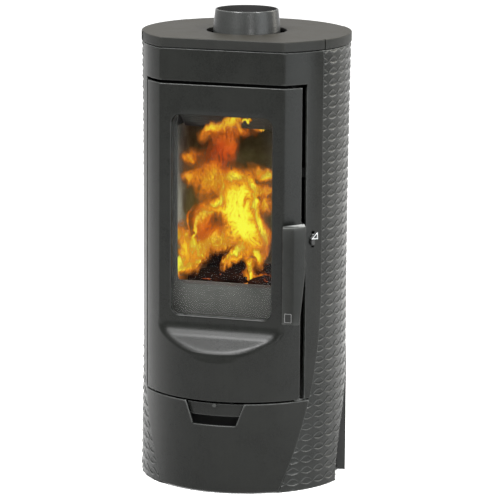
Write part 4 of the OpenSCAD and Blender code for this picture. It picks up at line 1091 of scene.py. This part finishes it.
RED_FLAMES = [
    (-24, 740, 34, 36, -35, 1.0), (-70, 580, 24, 36, 0, 0.9), (60, 448, 26, 14, 0, 0.8),
    (-52, 712, 52, 52, 0, 0.5), (5, 784, 36, 18, 0, 0.6), (-42, 545, 24, 24, 20, 0.6),
    (60, 535, 18, 40, 0, 0.5), (56, 640, 20, 40, 0, 0.3),
]


def blob_field(m, point, blobs):
    """Sum of soft ellipses, each given in mm."""
    parts = []
    for x, z, wide, high, lean, strength in blobs:
        placed = m.node("Mapping", {
            "Vector": point, "Location": (x * MM, 0, z * MM),
            "Rotation": (0, math.radians(-lean), 0),
            "Scale": (wide * MM, 1000.0, high * MM)}, vector_type="TEXTURE").outputs[0]
        square = m.vector("DOT_PRODUCT", placed, placed)
        parts.append((m.math("EXPONENT", m.math("MULTIPLY", square, -1.0)), strength))
    return m.total(*parts)


def warped(m, point, steps):
    """Point moved by noise: (scale, distance in mm, seed shift) per step."""
    for scale, distance, shift in steps:
        start = m.vector("ADD", point, (shift, shift * 0.7, -shift))
        swirl = m.noise(scale, 2.0, 0.5, m.stretch((1.0, 1.0, 0.6), start), output="Color")
        centred = m.vector("SUBTRACT", swirl, (0.5, 0.5, 0.5))
        point = m.vector("ADD", point, m.vector("MULTIPLY", centred, (distance * MM,) * 3))
    return point


def flame(name, gain, shift, blobs):
    """Glowing gas: soft blobs torn into tongues by stretched noise."""
    m = Material(name, Base_Color=(0.0, 0.0, 0.0, 1.0), Roughness=1.0, Specular_IOR_Level=0.0,
                 Emission_Strength=1.0)
    point = warped(m, m.coords, ((11.0, 50.0, shift), (30.0, 40.0, shift + 3),
                                 (85.0, 17.0, shift + 5)))
    strands = m.noise(1.0, 5.0, 0.66, m.stretch((105.0, 105.0, 34.0), point))
    ridge = m.math("ABSOLUTE", m.math("SUBTRACT", strands, 0.5))
    heat = m.math("MULTIPLY", m.math("MULTIPLY", blob_field(m, point, blobs), gain),
                  m.span(ridge, 0.0, 0.2, 1.35, 0.55))
    red = m.math("MULTIPLY", blob_field(m, point, RED_FLAMES), 0.9, clamp=True)
    warm = m.ramp(heat, [(0.0, (0.20, 0.055, 0.012)), (0.2, (0.42, 0.12, 0.012)),
                         (0.36, (0.72, 0.22, 0.012)), (0.5, (0.90, 0.52, 0.018)),
                         (0.62, (0.96, 0.84, 0.035)), (0.8, (1.0, 0.98, 0.06))])
    hot = m.ramp(heat, [(0.0, (0.16, 0.015, 0.003)), (0.25, (0.42, 0.045, 0.006)),
                        (0.5, (0.72, 0.11, 0.010)), (0.85, (0.90, 0.40, 0.03))])
    return m.give(Emission_Color=m.mix(red, warm, hot), Alpha=m.span(heat, 0.11, 0.34, 0.0, 0.98))


def burn(obj, material):
    """Puts a piece of the fire into the stove; it stands for none of the CAD nodes."""
    obj.data.materials.append(material)
    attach(obj, "stove")


def gas_sheet(name, x, y, z, gain, shift, blobs):
    """Sheet of gas through the points of three matching grids."""
    grid = np.stack(np.broadcast_arrays(x, y, z), axis=-1)
    obj = make_object(name, grid.reshape(-1, 3), quads(*grid.shape[:2]))
    obj.data.shade_smooth()
    burn(obj, flame(name + "_gas", gain, shift, blobs))


def flame_sheet(name, shift, gain, offset):
    """Curved sheet that follows the left lining and then the middle of the firebox."""
    x, z = np.linspace(-118.5, 96, 30), np.linspace(412, 812, 40)[:, None]
    t = np.clip((x + 119) / 150, 0, 1)
    depth = -124 + 84 * t * t * (3 - 2 * t)
    sway = 3.0 * np.sin(z / 41 + x / 57 + shift)
    gas_sheet(name, x, np.maximum(-126, depth + offset + sway), z, gain, shift, FLAMES)


char = charred_wood()
coal = ember_bed()
LOGS = [
    ("log_front", (-108, -84, 444), (21, -34, 450), 25.0, 1.0),
    ("log_back", (-98, 22, 446), (88, 34, 440), 27.0, 2.6),
    ("log_top", (-104, -8, 488), (-14, -18, 492), 22.0, 4.2),
    ("log_right", (36, -66, 430), (92, 14, 448), 20.0, 5.5),
]
for log in LOGS:
    burn(log_piece(*log), char)
burn(ember_mound(), coal)
flame_sheet("flames_middle", 0.0, 1.0, 0.0)
flame_sheet("flames_front", 7.0, 0.4, -16.0)
# the top lick leads round the deflector, along these (y, z) points
LICK = [(-118, 745), (-140, 775), (-152, 795), (-156, 836)]
lick_y, lick_z = (np.interp(np.linspace(0, 3, 24), range(4), c)[:, None] for c in zip(*LICK))
gas_sheet("flames_top", np.linspace(-90, 95, 20), lick_y, lick_z, 1.0, 2.0, TOP_FLAMES)


# ---- camera, floor, world and lamps ----

camera_data = bpy.data.cameras.new("camera")
camera_data.sensor_width = 36.0
camera_data.lens = 235.09
camera_data.clip_end = 60.0
camera = bpy.data.objects.new("camera", camera_data)
right, up, forward = ((0.95587, 0.29372, 0.00679), (-0.06276, 0.18154, 0.98138),
                      (-0.28702, 0.93849, -0.19197))
place = (2.11774, -6.88848, 1.91499)
camera.matrix_world = Matrix([(right[i], up[i], -forward[i], place[i]) for i in range(3)]
                             + [(0, 0, 0, 1)])
scene.collection.objects.link(camera)
scene.camera = camera


def seen_ray(nodes):
    """1 for camera, glossy and transmission rays."""
    path = nodes.node("LightPath").outputs
    seen = nodes.math("MAXIMUM", path["Is Camera Ray"], path["Is Glossy Ray"])
    return nodes.math("MAXIMUM", seen, path["Is Transmission Ray"])


def white_floor(half=12000.0):
    """Pale floor that keeps the shadow and fades into the white."""
    corners = [(-half, -half, 0), (half, -half, 0), (half, half, 0), (-half, half, 0)]
    floor = make_object("floor", corners, [(0, 1, 2, 3)])
    m = Material("floor_white", Base_Color=(0.82, 0.82, 0.82, 1), Roughness=0.9,
                 Specular_IOR_Level=0.0, Emission_Color=(1, 1, 1, 1))
    lift = m.span(m.vector("LENGTH", m.coords), 0.5, 2.8, 0.25, 0.7)
    floor.data.materials.append(m.give(Emission_Strength=m.math("MULTIPLY", seen_ray(m), lift)))


def studio_world(ambient):
    """White for the rays that are seen; its light on the object is dimmer."""
    world = bpy.data.worlds.new("studio")
    scene.world = world
    world.use_nodes = True
    nodes = Nodes(world.node_tree)
    background = nodes.tree.nodes["Background"].inputs
    nodes.feed(background["Color"], (1, 1, 1, 1))
    nodes.feed(background["Strength"], nodes.span(seen_ray(nodes), 0.0, 1.0, ambient, 1.0))


def lamp(name, place, target_z, size, watts, colour=(1, 1, 1)):
    """Square lamp aimed at a height on the stove's axis."""
    data = bpy.data.lights.new(name, "AREA")
    data.size = size
    data.energy = watts
    data.color = colour
    obj = bpy.data.objects.new(name, data)
    obj.location = place
    direction = Vector((0, 0, target_z)) - Vector(place)
    obj.rotation_euler = direction.to_track_quat("-Z", "Y").to_euler()
    scene.collection.objects.link(obj)


white_floor()
studio_world(0.45)
COOL, WARM = (0.93, 0.98, 1.0), (1.0, 0.96, 0.85)
lamp("top", (-0.85, -1.4, 3.6), 0.4, 1.1, 175)
lamp("front_high", (-1.5, -3.6, 3.8), 0.4, 1.7, 260)
lamp("front_low", (-1.6, -4.4, 1.9), 0.4, 1.8, 6)
lamp("side", (3.1, -0.9, 0.7), 0.6, 2.2, 68, COOL)
lamp("back_right_high", (3.7, 3.6, 4.2), 0.6, 2.4, 180, WARM)
lamp("back_right_low", (4.3, 4.0, 1.9), 0.4, 1.8, 40, WARM)
lamp("right_high", (3.4, -1.9, 4.0), 0.4, 1.0, 340)
lamp("collar", (2.6, -4.3, 1.6), 1.0, 0.9, 34)
scene.view_settings.view_transform = "Standard"


# ---- carried CAD nodes ----

for row in frame["record"]["subparts"]:
    node = frame["nodes"][row["node"]]
    if not node.hide_render:
        node.data.materials.clear()
        node.data.materials.append(OWN_MATERIAL.get(row["node"],
                                                    SLOT_MATERIAL[row["material_slot"]]))
